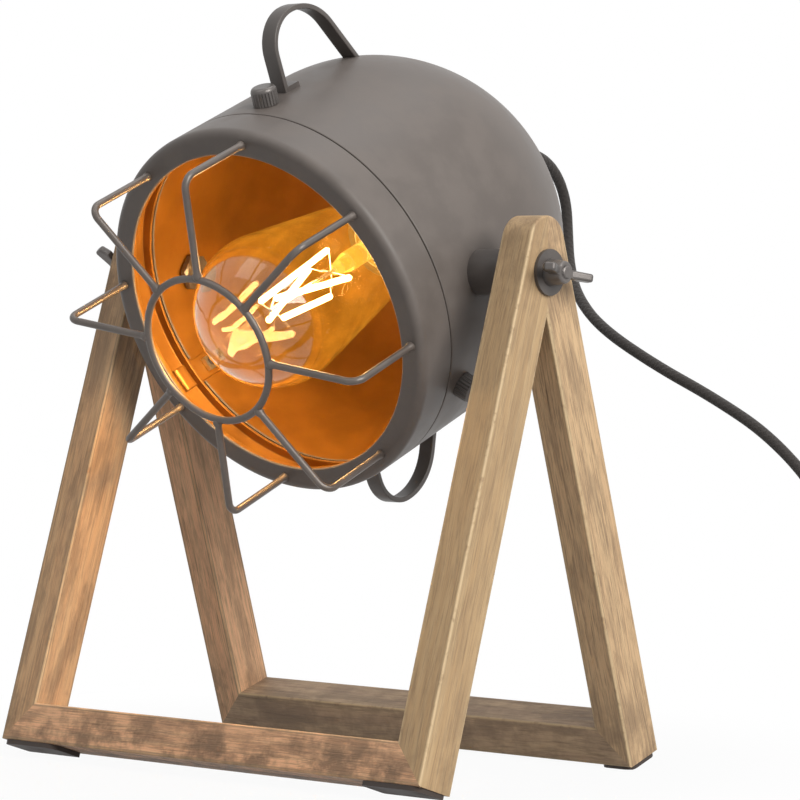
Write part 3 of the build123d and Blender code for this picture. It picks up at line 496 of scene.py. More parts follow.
@dataclass(frozen=True)
class GlassFinish(Finish):
    """Clear glass with a trace of amber, with a painted glow in its smears and dust for the filaments' light.

    The painted glow is strongest at hot, a distance ahead of the tilt axis, and fades over fade on both sides of it
    and again over tip, near the glass's front.
    """

    ior: float = 1.45
    painted_glow: Colour = (1.0, 0.42, 0.03)
    painted_glow_strength: float = 0.0
    hot: float = 0.012
    fade: float = 0.055
    tip: tuple[float, float] = (0.048, 0.068)

    def make(self, effects: "Effects") -> bpy.types.Material:
        """Builds the material."""
        material, graph, shader, place = self.start()
        graph.fill(shader, Transmission_Weight=1.0, IOR=self.ior, Roughness=self.roughness, Base_Color=self.colour)
        ripple = graph.noise(place, 55.0, 2.0, 0.5)
        graph.fill(shader, Normal=graph.bump(ripple, 0.25, 0.0003))
        ahead = effects.head.place(graph, Vector=place).outputs["Ahead"]
        # painted glow: emission set by place on the glass, standing in for the filaments' light that it scatters
        off = graph.math("ABSOLUTE", graph.math("SUBTRACT", ahead, self.hot))
        glow_reach = graph.times(graph.between(off, 0.0, self.fade, 1.0, 0.45), graph.between(ahead, *self.tip, 1.0, 0.10))
        glowing_dust = graph.between(graph.noise(place, 1100.0, 2.0, 0.5), 0.68, 0.76)
        glowing_smears = graph.between(graph.noise(place, 70.0, 4.0, 0.6), 0.35, 0.75, 0.25, 0.55)
        light = graph.times(glow_reach, graph.math("ADD", glowing_smears, graph.times(glowing_dust, 2.5)))
        painted_glow = graph.blend(light, (0.0, 0.0, 0.0), self.painted_glow)
        graph.fill(shader, Emission_Color=painted_glow, Emission_Strength=self.painted_glow_strength)
        return material


@dataclass(frozen=True)
class GlowFinish(Finish):
    """A lit filament with its coating's grains: it shines to the eye and in glass, and point lights do the rest."""

    glow: Colour = (1.0, 0.58, 0.18)
    hottest: Colour = (1.0, 0.72, 0.34)
    strength: float = 550.0

    def make(self, effects: "Effects") -> bpy.types.Material:
        """Builds the material."""
        material, graph, shader, place = self.start()
        self.surface(graph, shader, place, effects, self.colour)
        beads = graph.noise(place, 700.0, 2.0, 0.5)
        colour = graph.blend(graph.between(beads, 0.35, 0.65), self.glow, self.hottest)
        matte_ray = graph.add("ShaderNodeLightPath").outputs["Is Diffuse Ray"]
        shine = graph.blend(matte_ray, colour, (0.0, 0.0, 0.0))
        graph.fill(shader, Emission_Color=shine, Emission_Strength=self.strength)
        material.cycles.emission_sampling = "NONE"
        return material


@dataclass(frozen=True)
class CordFinish(Finish):
    """Black braided textile, read from the cord's own UV map."""

    def make(self, effects: "Effects") -> bpy.types.Material:
        """Builds the material."""
        material, graph, shader, place = self.start()
        along = graph.add("ShaderNodeUVMap", uv_map="along").outputs[0]
        height = effects.braid.place(graph, Vector=along).outputs["Height"]
        fuzz = graph.noise(place, 2500.0, 2.0, 0.6)
        pale = tuple(c * 1.35 for c in self.colour)
        colour = graph.blend(graph.times(height, 0.6), self.colour, pale)
        colour = graph.blend(graph.times(fuzz, 0.25), colour, pale)
        normal = graph.bump(height, 0.45, 0.0004, graph.bump(fuzz, 0.3, 0.0001))
        graph.fill(shader, Base_Color=colour, Roughness=self.roughness, Sheen_Weight=0.25, Normal=normal)
        return material


@dataclass
class Effects:
    """The shared node groups."""

    fine: SharedEffect
    head: SharedEffect
    edge: SharedEffect
    grain: SharedEffect
    braid: SharedEffect


class Look(Enum):
    """The looks that pieces share, each giving its material's name."""

    SHELL = "shell_paint"
    GREY = "grey_paint"
    WIRE = "guard_wire"
    STEM = "lit_stem"
    DARK_STEEL = "dark_steel"
    BRIGHT_STEEL = "bright_steel"
    BRASS = "brass"
    BLACK = "black_plastic"
    SOFT = "soft_plastic"
    PADS = "pad_rubber"
    LEADS = "lead_cover"
    GLASS = "clear_glass"
    FILAMENT = "lit_filament"
    CORD = "cord_textile"


FINISHES: dict[Look, Finish] = {
    Look.SHELL: ShellFinish((0.125, 0.107, 0.096), 0.46, variation=0.07, specular=0.35),
    Look.GREY: Finish((0.078, 0.067, 0.061), 0.42, variation=0.10),
    Look.WIRE: Finish((0.125, 0.105, 0.092), 0.36, 0.30, 0.08, grain_depth=0.000012),
    Look.STEM: GlassFinish((1.0, 0.93, 0.75), 0.05, painted_glow_strength=1.6, painted_glow=(1.0, 0.50, 0.06)),
    Look.DARK_STEEL: Finish((0.135, 0.122, 0.115), 0.40, 0.55, 0.15, 1400.0, 0.00002),
    Look.BRIGHT_STEEL: Finish((0.62, 0.60, 0.57), 0.28, 1.0, 0.10, 1600.0),
    Look.BRASS: Finish((0.74, 0.52, 0.22), 0.32, 1.0, 0.10, 1600.0),
    Look.BLACK: Finish((0.022, 0.021, 0.020), 0.38, 0.0, 0.10, 1200.0),
    Look.SOFT: Finish((0.028, 0.027, 0.026), 0.55, 0.0, 0.10, 1200.0),
    Look.PADS: Finish((0.045, 0.032, 0.026), 0.75, 0.0, 0.20, 1500.0),
    Look.LEADS: Finish((0.30, 0.17, 0.07), 0.5, 0.0, 0.10, 1200.0),
    Look.GLASS: GlassFinish((1.0, 0.95, 0.82), 0.0, painted_glow_strength=0.27),
    Look.FILAMENT: GlowFinish((0.9, 0.7, 0.3), 0.4),
    Look.CORD: CordFinish((0.019, 0.015, 0.013), 0.85),
}


@dataclass
class Palette:
    """Builds each finish once and hands it out."""

    effects: Effects
    made: dict[str, bpy.types.Material] = field(default_factory=dict)

    def get(self, look: Look) -> bpy.types.Material:
        """The material of a shared look."""
        return self.of(replace(FINISHES[look], name=look.value))

    def of(self, finish: Finish) -> bpy.types.Material:
        """The material of a finish, made the first time it is asked for."""
        if finish.name not in self.made:
            self.made[finish.name] = finish.make(self.effects)
        return self.made[finish.name]


# Meshes


def around(count: int) -> Points:
    """Even angles round a full turn."""
    return np.linspace(0.0, 2 * pi, count, endpoint=False)


def unit(vectors: Points) -> Points:
    """The vectors, each scaled to length 1."""
    return vectors / np.maximum(np.linalg.norm(vectors, axis=-1, keepdims=True), 1e-9)


def joined(*parts: Any) -> Points:
    """Points made of their coordinates, each a number or an array."""
    return np.stack(np.broadcast_arrays(*parts), axis=-1)


def polar(radius: Any, ahead: Any, turn: Any) -> Points:
    """Points in the head's frame: their distance from its axis, their place along it and their turn from the top."""
    return joined(radius * np.sin(turn), ahead, radius * np.cos(turn))


def link(thing: bpy.types.Object) -> bpy.types.Object:
    """Puts an object in the scene."""
    bpy.context.scene.collection.objects.link(thing)
    return thing


def new_piece(name: str, points: Points, faces: NDArray[np.int64], smooth: bool = True) -> bpy.types.Object:
    """Makes a mesh object at the origin.

    Args:
        name: the piece's name.
        points: its vertices in the row frame, n by 3.
        faces: its quads as vertex numbers, m by 4.
        smooth: whether its faces are shaded smooth.

    Returns:
        The new object, linked to the scene.
    """
    mesh = bpy.data.meshes.new(name)
    mesh.from_pydata(points.reshape(-1, 3).tolist(), [], faces.tolist())
    mesh.polygons.foreach_set("use_smooth", np.full(len(faces), smooth))
    mesh.update()
    return link(bpy.data.objects.new(name, mesh))


def settle(piece: bpy.types.Object, fill: bool = False, merge: bool = True) -> bpy.types.Object:
    """Turns the faces of a piece outwards.

    Args:
        piece: the piece.
        fill: whether its open rings are filled first.
        merge: whether its doubled vertices are merged.

    Returns:
        The piece.
    """
    shape = bmesh.new()
    shape.from_mesh(piece.data)
    if fill:
        bmesh.ops.holes_fill(shape, edges=[edge for edge in shape.edges if edge.is_boundary], sides=0)
    if merge:
        bmesh.ops.remove_doubles(shape, verts=shape.verts, dist=1e-7)
        bmesh.ops.dissolve_degenerate(shape, edges=shape.edges, dist=1e-7)
    bmesh.ops.recalc_face_normals(shape, faces=shape.faces)
    shape.to_mesh(piece.data)
    shape.free()
    return piece


def grid_faces(rows: int, columns: int, wrap_rows: bool, wrap_columns: bool) -> NDArray[np.int64]:
    """Quads of a grid of vertices numbered row by row.

    Args:
        rows: vertices along the first way.
        columns: vertices along the second way.
        wrap_rows: whether the last row joins the first.
        wrap_columns: whether the last column joins the first.

    Returns:
        The quads, n by 4.
    """
    last_row, last_column = rows - (not wrap_rows), columns - (not wrap_columns)
    i, j = np.meshgrid(np.arange(last_row), np.arange(last_column), indexing="ij")
    down, right = (i + 1) % rows, (j + 1) % columns
    quads = np.stack([i * columns + j, i * columns + right, down * columns + right, down * columns + j], axis=-1)
    return quads.reshape(-1, 4)


def revolved(profile: Points, angle: Points, closed: bool) -> tuple[Points, NDArray[np.int64]]:
    """Turns a profile of (radius, ahead) about the head's axis: x = r sin a, up = r cos a.

    Args:
        profile: the profile's points, n by 2, or n by m by 2 where it changes round the axis.
        angle: the m angles that it is set at.
        closed: whether the profile's end joins its start.

    Returns:
        Points in the head's frame, n by m by 3, and the quads.
    """
    rows = profile if profile.ndim == 3 else profile[:, None]
    return polar(rows[..., 0], rows[..., 1], angle), grid_faces(len(rows), len(angle), closed, True)


def rounded(corners: Points, radii: Points, steps: int = 7) -> tuple[Points, NDArray[np.int64]]:
    """Rounds the corners of a closed outline.

    An arc touches both runs of its corner: its centre lies radius / cos(h) from the corner on the bisector, where h is
    half of the angle that the outline turns by, and its points stand at the angles from -h to h about the bisector.

    Args:
        corners: the outline's corners in order, n by 2.
        radii: the arc's radius at each corner, nought for a plain point.
        steps: points on each arc.

    Returns:
        The outline's points, m by 2, and the number of the corner that each belongs to.
    """
    before = unit(corners - np.roll(corners, 1, axis=0))
    after = unit(np.roll(corners, -1, axis=0) - corners)
    half = np.arccos(np.clip(np.sum(before * after, axis=1), -1.0, 1.0)) / 2
    inward, along = unit(after - before), unit(after + before)
    centre = corners + inward * (radii / np.cos(half))[:, None]
    angle = (np.linspace(-1.0, 1.0, steps) * half[:, None])[..., None]
    arcs = centre[:, None] + radii[:, None, None] * (along[:, None] * np.sin(angle) - inward[:, None] * np.cos(angle))
    keep = np.ones(arcs.shape[:2], bool)
    keep[radii == 0.0, 1:] = False
    owner = np.broadcast_to(np.arange(len(corners))[:, None], keep.shape)
    return arcs[keep], owner[keep]


def tube(path: Points, radius: Any, sides: int, side: Any, closed: bool = False) -> tuple[Points, NDArray[np.int64]]:
    """A round tube along a path: each ring lies across the path, turned from one fixed side direction.

    Args:
        path: the ring centres, n by 3.
        radius: one radius, or one for each ring.
        sides: vertices in a ring.
        side: a direction that the path never runs along.
        closed: whether the path's end joins its start.

    Returns:
        The ring points, n by sides by 3, and the quads.
    """
    steps = np.roll(path, -1, axis=0) - np.roll(path, 1, axis=0) if closed else np.gradient(path, axis=0)
    ahead = unit(steps)
    first = unit(np.cross(ahead, np.asarray(side, float)))
    second = np.cross(ahead, first)
    angle = around(sides)
    reach = np.broadcast_to(np.asarray(radius, float).reshape(-1, 1, 1), (len(path), 1, 1))
    ring = first[:, None] * np.cos(angle)[None, :, None] + second[:, None] * np.sin(angle)[None, :, None]
    return path[:, None] + reach * ring, grid_faces(len(path), sides, closed, True)


def dress(material: bpy.types.Material, node: str) -> None:
    """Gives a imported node's object a finish in place of its plain one."""
    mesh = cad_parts[node].data
    if not mesh.materials:
        mesh.materials.append(material)
    for index in range(len(mesh.materials)):
        mesh.materials[index] = material


def fit(piece: bpy.types.Object, material: bpy.types.Material, body: str, node: str) -> None:
    """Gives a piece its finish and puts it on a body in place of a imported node.

    Args:
        piece: the piece.
        material: its finish.
        body: the body that it rides on.
        node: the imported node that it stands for.
    """
    piece.data.materials.append(material)
    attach(piece, body)
    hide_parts(node)
    log.info("built %s", piece.name)


@dataclass(frozen=True)
class HeadFrame:
    """The head's own frame: x across, ahead along the drum's axis, up square to both, from the tilt axis."""

    pivot: float = 0.2298
    tilt: float = radians(23.0)

    def place(self, points: Points) -> Points:
        """Turns head points into the row frame.

        Args:
            points: (x, ahead, up) in the last axis.

        Returns:
            The same points in the row frame.
        """
        across, ahead, up = points[..., 0], points[..., 1], points[..., 2]
        c, s = cos(self.tilt), sin(self.tilt)
        return joined(across, -ahead * c - up * s, self.pivot - ahead * s + up * c)


# Sub-assemblies


SWITCH = ("switch_lower", "switch_upper", "switch_rocker", "switch_contacts", "switch_screws")
THREADED = ("threaded_tube", "tube_lock_nut", "tab_nuts", "head_washers")
DRESSED: dict[Look, tuple[str, ...]] = {
    Look.GREY: ("pivot_spacers", "cheek_washers"),
    Look.DARK_STEEL: ("thumbscrew_top", "thumbscrew_right", "thumbscrew_left", "wing_nut_right", "wing_nut_left"),
    Look.BRIGHT_STEEL: (*THREADED, "bulb_cap", "filament_supports", "switch_screws", "plug_pins"),
    Look.BRASS: ("cap_contact", "contact_shell", "centre_contact", "switch_contacts"),
    Look.BLACK: ("cap_insulator", "holder_shell", "holder_cap", "holder_insert", *SWITCH[:3], "plug_body"),
    Look.SOFT: ("strain_relief", "cord_tie"),
    Look.PADS: ("foot_pads",),
    Look.LEADS: ("inner_leads",),
    Look.STEM: ("bulb_stem",),
}

# The timbers' base colours differ as painted light, each set for the light on it: the left legs are warmer for the
# bulb's warm light, the back left leg paler still.
PAINTED_LIGHT_WOODS: dict[str, WoodFinish] = {
    "front_left_leg": WoodFinish((0.54, 0.325, 0.170), stain=0.46, streaks=0.60, soil=0.70, rubbed=0.45, crease=0.60),
    "back_left_leg": WoodFinish((0.90, 0.520, 0.295), stain=0.38, streaks=0.55, soil=0.60, rubbed=0.45, crease=0.60),
    "front_rail": WoodFinish((0.82, 0.460, 0.262), stain=0.50, streaks=0.60, soil=0.80, rubbed=0.35),
    "back_rail": WoodFinish((0.44, 0.300, 0.190), stain=0.45, streaks=0.50, soil=0.45),
    "front_right_leg": WoodFinish((0.445, 0.292, 0.150), stain=0.18, streaks=0.30, soil=0.30, rubbed=0.95, crease=0.25),
    "back_right_leg": WoodFinish(
        (0.60, 0.400, 0.225), stain=0.36, streaks=0.65, pores=0.55, rubbed=0.95, crease=0.40
    ),
}


@dataclass
class Stand:
    """The two wooden frames."""

    half_span: float = 0.1191
    lean: float = radians(17.8)
    depth: float = 0.0226
    rail: float = 0.0185
    heel: float = 0.0671
    lift: float = 0.0012

    def dress(self, palette: Palette) -> None:
        """Gives each timber its own wood finish, with the grain along it; their base colours differ as painted light.
        """
        for front, sign in (("front", -1.0), ("back", 1.0)):
            lean = sign * -self.lean
            inner = np.array([0.0, sign * self.heel, self.lift])
            out = np.array([0.0, sign * cos(self.lean), sin(self.lean)]) * self.depth / 2
            for side, way in (("left", -1.0), ("right", 1.0)):
                middle = inner + out + np.array([way * self.half_span, 0.0, 0.0])
                name = f"{front}_{side}_leg"
                dress(palette.of(replace(PAINTED_LIGHT_WOODS[name], name=f"wood_{name}", lean=lean, middle=tuple(middle))), name)
            up = np.array([0.0, -sign * sin(self.lean), cos(self.lean)]) * self.rail / 2
            name, middle = f"{front}_rail", tuple(inner + out + up)
            wood = replace(PAINTED_LIGHT_WOODS[name], name=f"wood_{name}", lean=lean, middle=middle, half_width=self.rail / 2)
            dress(palette.of(replace(wood, along_x=True)), name)


@dataclass
class Shade:
    """The drum and the bezel with its tabs."""

    head: HeadFrame
    radius: float = 0.0900
    wall: float = 0.0012
    front: float = 0.0287
    lip: float = 0.0840
    dome: float = -0.0350
    flat: float = 0.0120
    hole: float = 0.0053
    columns: int = 256
    dome_rows: int = 56
    tabs: tuple[float, ...] = (2.4, 122.4, 242.4)
    notch_half: float = radians(4.32)
    notch_slope: float = radians(0.17)
    notch_radius: float = 0.08855
    bezel_back: float = 0.0293
    bezel_front: float = 0.0511
    bezel_wall: float = 0.0015
    mouth: float = 0.0782
    edge_return: float = 0.0034
    corner: float = 0.0040
    tab_half: float = 0.0060
    tab_radius: float = 0.0885
    tab_back: float = 0.0105
    tab_front: float = 0.0383
    tab_corner: float = 0.0015
    slot_half: float = 0.0023
    slot_end: float = 0.0165
    rim_radii: tuple[float, ...] = (0.0005, 0.0001, 0.0001, 0.0001)
    rim_step: float = 0.0012
    rim_run: float = 0.0015

    def turns(self) -> Points:
        """The angles of the lathe's columns: even steps, and one at each end of a notch's slopes."""
        ends = np.array([-1.0, 1.0])[:, None] * np.array([self.notch_half, self.notch_half + self.notch_slope])
        notch = np.radians(self.tabs)[:, None] + ends.ravel()
        return np.unique(np.concatenate([around(self.columns), notch.ravel() % (2 * pi)]))

    def notched(self, turns: Points) -> Points:
        """How far each column lies in a notch: 1 within its half width of a tab, falling to 0 over its slope."""
        off = np.abs((turns[:, None] - np.radians(self.tabs) + pi) % (2 * pi) - pi)
        return np.clip((self.notch_half + self.notch_slope - off.min(axis=1)) / self.notch_slope, 0.0, 1.0)

    def drum_outline(self, lip: float) -> tuple[Points, Points, Points]:
        """The drum's wall in section: front edge and lip, inner wall and dome, cord hole, outer dome and wall.

        Args:
            lip: inner radius of the turned-in lip.

        Returns:
            Corners, their arc radii, and 1 for each corner whose arc and next run are inside the drum.
        """
        inner, back = self.radius - self.wall, self.front - self.wall
        start = back - self.rim_step
        rim = [(self.radius, self.front), (lip, self.front), (lip, back), (inner, back), (inner, start)]
        rows = np.linspace(start, self.dome, 8)[1:-1]
        walls, domes = [], []
        for radius in (inner, self.radius):
            angle = np.linspace(0.0, np.arccos(self.flat / radius), self.dome_rows)
            domes.append(joined(radius * np.cos(angle), self.dome - radius * np.sin(angle)))
            walls.append(joined(radius, rows))
        end = domes[1][-1, 1]
        hole = [(self.hole, end + self.wall), (self.hole, end)]
        last = [(self.radius, self.front - self.rim_run)]
        corners = np.concatenate([rim, walls[0], domes[0], hole, domes[1][::-1], walls[1][::-1], last])
        radii = np.zeros(len(corners))
        radii[: len(self.rim_radii)] = self.rim_radii
        inside = np.zeros(len(corners))
        inside[2 : len(rim) + len(rows) + len(domes[0]) + 1] = 1.0
        return corners, radii, inside

    def build_drum(self, palette: Palette, turns: Points) -> None:
        """Builds the drum: in a notch the outline runs from the full lip's shape to the cut one's."""
        whole, radii, inside = self.drum_outline(self.lip)
        cut, _, _ = self.drum_outline(self.notch_radius)
        (full, owner), (notch, _) = rounded(whole, radii), rounded(cut, radii)
        share = self.notched(turns)[:, None]
        profile = full[:, None] * (1 - share) + notch[:, None] * share
        points, faces = revolved(profile, turns, True)
        self.finish("drum", points, faces, np.repeat(inside[owner], len(turns)), palette, "drum_shell", "head")

    def build_bezel(self, palette: Palette, turns: Points) -> None:
        """Builds the bezel: its flange, its rolled front corner and the return round its mouth.

        Each corner has its radius, its place ahead, its arc radius in tenths of a millimetre, and 1 where the arc and
        the next run are inside.
        """
        out, wall, mouth, lip = self.radius, self.bezel_wall, self.mouth, self.lip
        back, front = self.bezel_back, self.bezel_front
        bend, turned = self.corner + 0.0010, front - self.edge_return
        rows = (
            (lip, back, 3, 0),
            (out, back, 6, 0),
            (out, back + 0.0014, 0, 0),
            (out, front - bend, 0, 0),
            (out, front, 40, 0),
            (out - bend, front, 0, 0),
            (mouth + 0.0018, front, 0, 0),
            (mouth, front, 7, 0),
            (mouth, front - 0.0012, 0, 1),
            (mouth, turned, 4, 1),
            (mouth + wall, turned, 4, 1),
            (mouth + wall, front - wall, 4, 1),
            (out - wall, front - wall, 25, 1),
            (out - wall, back + wall, 6, 1),
            (lip, back + wall, 3, 1),
        )
        table = np.array(rows, float)
        profile, owner = rounded(table[:, :2], table[:, 2] * 1e-4)
        points, faces = revolved(profile, turns, True)
        inside = np.repeat(table[owner, 3], len(turns))
        self.finish("bezel_ring", points, faces, inside, palette, "bezel", "bezel_guard")

    def build_tab(self, palette: Palette, number: int, turn: float) -> None:
        """Builds one slotted tab as two mirrored halves that meet in front of the slot.

        Each half is a grid of rows along the tab: from the slot's edge, a straight run that ends in a half round, to
        the tab's edge, whose back corner is round. It is laid on a cylinder and thickened inwards.

        Args:
            palette: the finishes.
            number: its number.
            turn: its place round the axis, in radians from the top.
        """
        top = self.slot_end + self.slot_half
        ahead = np.concatenate(
            [
                np.linspace(self.tab_back, self.slot_end, 9)[:-1],
                self.slot_end + self.slot_half * np.sin(np.linspace(0.0, pi / 2, 12)),
                np.linspace(top, self.tab_front, 9)[1:],
            ]
        )
        into = np.clip(ahead - self.slot_end, 0.0, self.slot_half)
        slot = np.sqrt(self.slot_half**2 - into**2)
        round_off = np.clip(self.tab_corner - (ahead - self.tab_back), 0.0, self.tab_corner)
        edge = self.tab_half - self.tab_corner + np.sqrt(self.tab_corner**2 - round_off**2)
        share = np.linspace(0.0, 1.0, 9)
        half = slot[:, None] * (1 - share) + edge[:, None] * share
        grids, quads = [], []
        for side, way in enumerate((1.0, -1.0)):
            grids.append(polar(self.tab_radius, ahead[:, None], turn + way * half / self.tab_radius))
            quads.append(grid_faces(*half.shape, False, False)[:, :: int(way)] + side * half.size)
        points, faces, name = np.stack(grids), np.concatenate(quads), f"bezel_tab_{number + 1}"
        tab = self.finish(name, points, faces, np.ones(len(faces)), palette, "bezel", "bezel_guard")
        outward = np.array([sin(turn), -sin(self.head.tilt) * cos(turn), cos(self.head.tilt) * cos(turn)])
        if Vector(outward).dot(tab.data.polygons[0].normal) < 0.0:
            tab.data.flip_normals()
        thick = tab.modifiers.new("sheet", "SOLIDIFY")
        thick.thickness, thick.offset = self.wall, -1.0

    def finish(
        self, name: str, points: Points, faces: Any, inside: Points, palette: Palette, node: str, body: str
    ) -> bpy.types.Object:
        """Makes one painted piece and puts it in its node's place.

        Args:
            name: the piece's name.
            points: its vertices in the head's frame.
            faces: its quads.
            inside: 1 for each face that has the inner finish.
            palette: the finishes.
            node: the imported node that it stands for.
            body: the body that it rides on.

        Returns:
            The piece.
        """
        piece = new_piece(name, self.head.place(points), faces)
        marks = piece.data.attributes.new("inside", "FLOAT", "FACE")
        marks.data.foreach_set("value", inside)
        settle(piece)
        piece.data.set_sharp_from_angle(angle=radians(38.0))
        fit(piece, palette.get(Look.SHELL), body, node)
        return piece

    def build(self, palette: Palette) -> None:
        """Builds drum, bezel and tabs."""
        turns = self.turns()
        self.build_drum(palette, turns)
        self.build_bezel(palette, turns)
        for number, turn in enumerate(self.tabs):
            self.build_tab(palette, number, radians(turn))


@dataclass
class Strap:
    """A flat strap bent into a handle on the drum, its front foot turned back; way is 1 above the drum, -1 below it."""

    head: HeadFrame
    node: str
    height: float
    shift: float = 0.0
    way: float = 1.0
    drum: float = 0.0900
    dome: float = -0.0350
    sink: float = 0.0001
    width: float = 0.0082
    thickness: float = 0.0025
    front: float = 0.00075
    back: float = -0.0330
    heel: float = -0.0530
    bends: tuple[float, float] = (0.0170, 0.0275)
    foot: float = 0.0090
    edge: float = 0.0005
    bend_steps: int = 18
    edge_steps: int = 5

    def strip(self) -> Points:
        """Rings of the bent strip, the first slid along it to the drum's cylinder and the last to its dome."""
        half = np.array([self.width, self.thickness]) / 2
        square = np.array([[1, 1], [-1, 1], [-1, -1], [1, -1]]) * half
        section, _ = rounded(square, np.full(4, self.edge), self.edge_steps)
        top, low = self.drum + self.height - half[1], self.drum - self.thickness
        corners = np.array([[self.front, self.drum], [self.front, top], [self.back, top], [self.heel, low]])
        path, _ = rounded(corners + [self.shift, 0.0], np.array([0.0, *self.bends, 0.0]), self.bend_steps)
        along = unit(np.gradient(path, axis=0))
        outward = joined(-along[:, 1], along[:, 0])
        flat = path[:, None] + outward[:, None] * section[None, :, 1:]
        seat = np.sqrt((self.drum - self.sink) ** 2 - section[:, 0] ** 2)
        flat[0] -= along[0] * ((flat[0, :, 1] - seat) / along[0, 1])[:, None]
        span = flat[-1] - [self.dome, 0.0]
        drop = span @ along[-1]
        flat[-1] -= along[-1] * (drop + np.sqrt(drop**2 - np.sum(span**2, axis=1) + seat**2))[:, None]
        return joined(section[:, 0], flat[..., 0], self.way * flat[..., 1])

    def plate(self) -> Points:
        """Rings of the foot, a plate that follows the drum's curve."""
        front = self.front + self.shift
        corners = [[front, 0.0], [front, self.thickness], [front - self.foot, self.thickness], [front - self.foot, 0.0]]
        section, _ = rounded(np.array(corners), np.array([0.0, self.edge, self.edge, 0.0]), self.edge_steps)
        turn = (np.linspace(-1.0, 1.0, 7) * np.arcsin(self.width / 2 / self.drum))[:, None]
        reach = self.drum - self.sink + section[None, :, 1]
        return polar(reach, section[:, 0], turn) * [1.0, 1.0, self.way]

    def build(self, palette: Palette) -> None:
        """Builds the strip and its foot as one piece."""
        strip, plate = self.strip(), self.plate()
        points = np.concatenate([strip.reshape(-1, 3), plate.reshape(-1, 3)])
        bent = grid_faces(*strip.shape[:2], False, True)
        faces = np.concatenate([bent, grid_faces(*plate.shape[:2], False, True) + strip.size // 3])
        piece = settle(new_piece(f"{self.node}_loop", self.head.place(points), faces), fill=True, merge=False)
        piece.data.set_sharp_from_angle(angle=radians(40.0))
        fit(piece, palette.get(Look.GREY), "head", self.node)


@dataclass
class Pivots:
    """The two hex-headed bolts that the head turns on, each from inside the drum out through its wing nut."""

    head: HeadFrame
    radius: float = 0.0030
    flats: float = 0.0160
    seat: float = 0.08727
    height: float = 0.0034
    tip: float = 0.1389
    thread_start: float = 0.1290
    pitch: float = 0.0010
    depth: float = 0.0004
    point: float = 0.0004
    foot_edge: float = 0.0003
    columns: int = 96

    def limits(self) -> tuple[Points, Points]:
        """Each ring's distance from the drum's middle and its largest radius, from the head's top to the bolt's tip."""
        flat, corner, top = self.flats / 2, self.flats / 2 / cos(pi / 6), self.seat - self.height
        rim = np.linspace(0.92 * flat, corner, 8)
        chamfer = top + (rim - rim[0]) * np.tan(pi / 6)
        foot = [self.seat - self.foot_edge, self.seat, self.seat]
        thread = np.arange(self.thread_start, self.tip - self.point, self.pitch / 10)
        out = np.concatenate([[top], chamfer, foot, thread, [self.tip, self.tip]])
        tail = [corner, corner - self.foot_edge, self.radius]
        reach = np.concatenate([[0.0], rim, tail, np.full(len(thread), self.radius), [self.radius * 0.8, 0.0]])
        return out, reach

    def build(self, palette: Palette) -> None:
        """Builds both bolts.

        A ring's radius is the smaller of its limit and the hexagon's, flats / 2 / cos(a'), a' being the angle from the
        middle of the nearest flat. The thread takes up to its depth off the shank in a helix, one turn a pitch.
        """
        angle = around(self.columns)
        hexagon = self.flats / 2 / np.cos(angle % (pi / 3) - pi / 6)
        out, reach = self.limits()
        radius = np.minimum(reach[:, None], hexagon)
        wave = (1 - np.cos(2 * pi * out[:, None] / self.pitch - angle)) / 2
        shank = ((out >= self.thread_start) & (reach == self.radius))[:, None]
        radius = radius - self.depth * wave * shank
        faces = grid_faces(len(out), self.columns, False, True)
        for side, way in (("right", 1.0), ("left", -1.0)):
            points = joined(way * out[:, None], radius * np.cos(angle), self.head.pivot + radius * np.sin(angle))
            bolt = settle(new_piece(f"pivot_bolt_{side}", points, faces))
            bolt.data.set_sharp_from_angle(angle=radians(25.0))
            fit(bolt, palette.get(Look.DARK_STEEL), "head", "pivot_bolts")


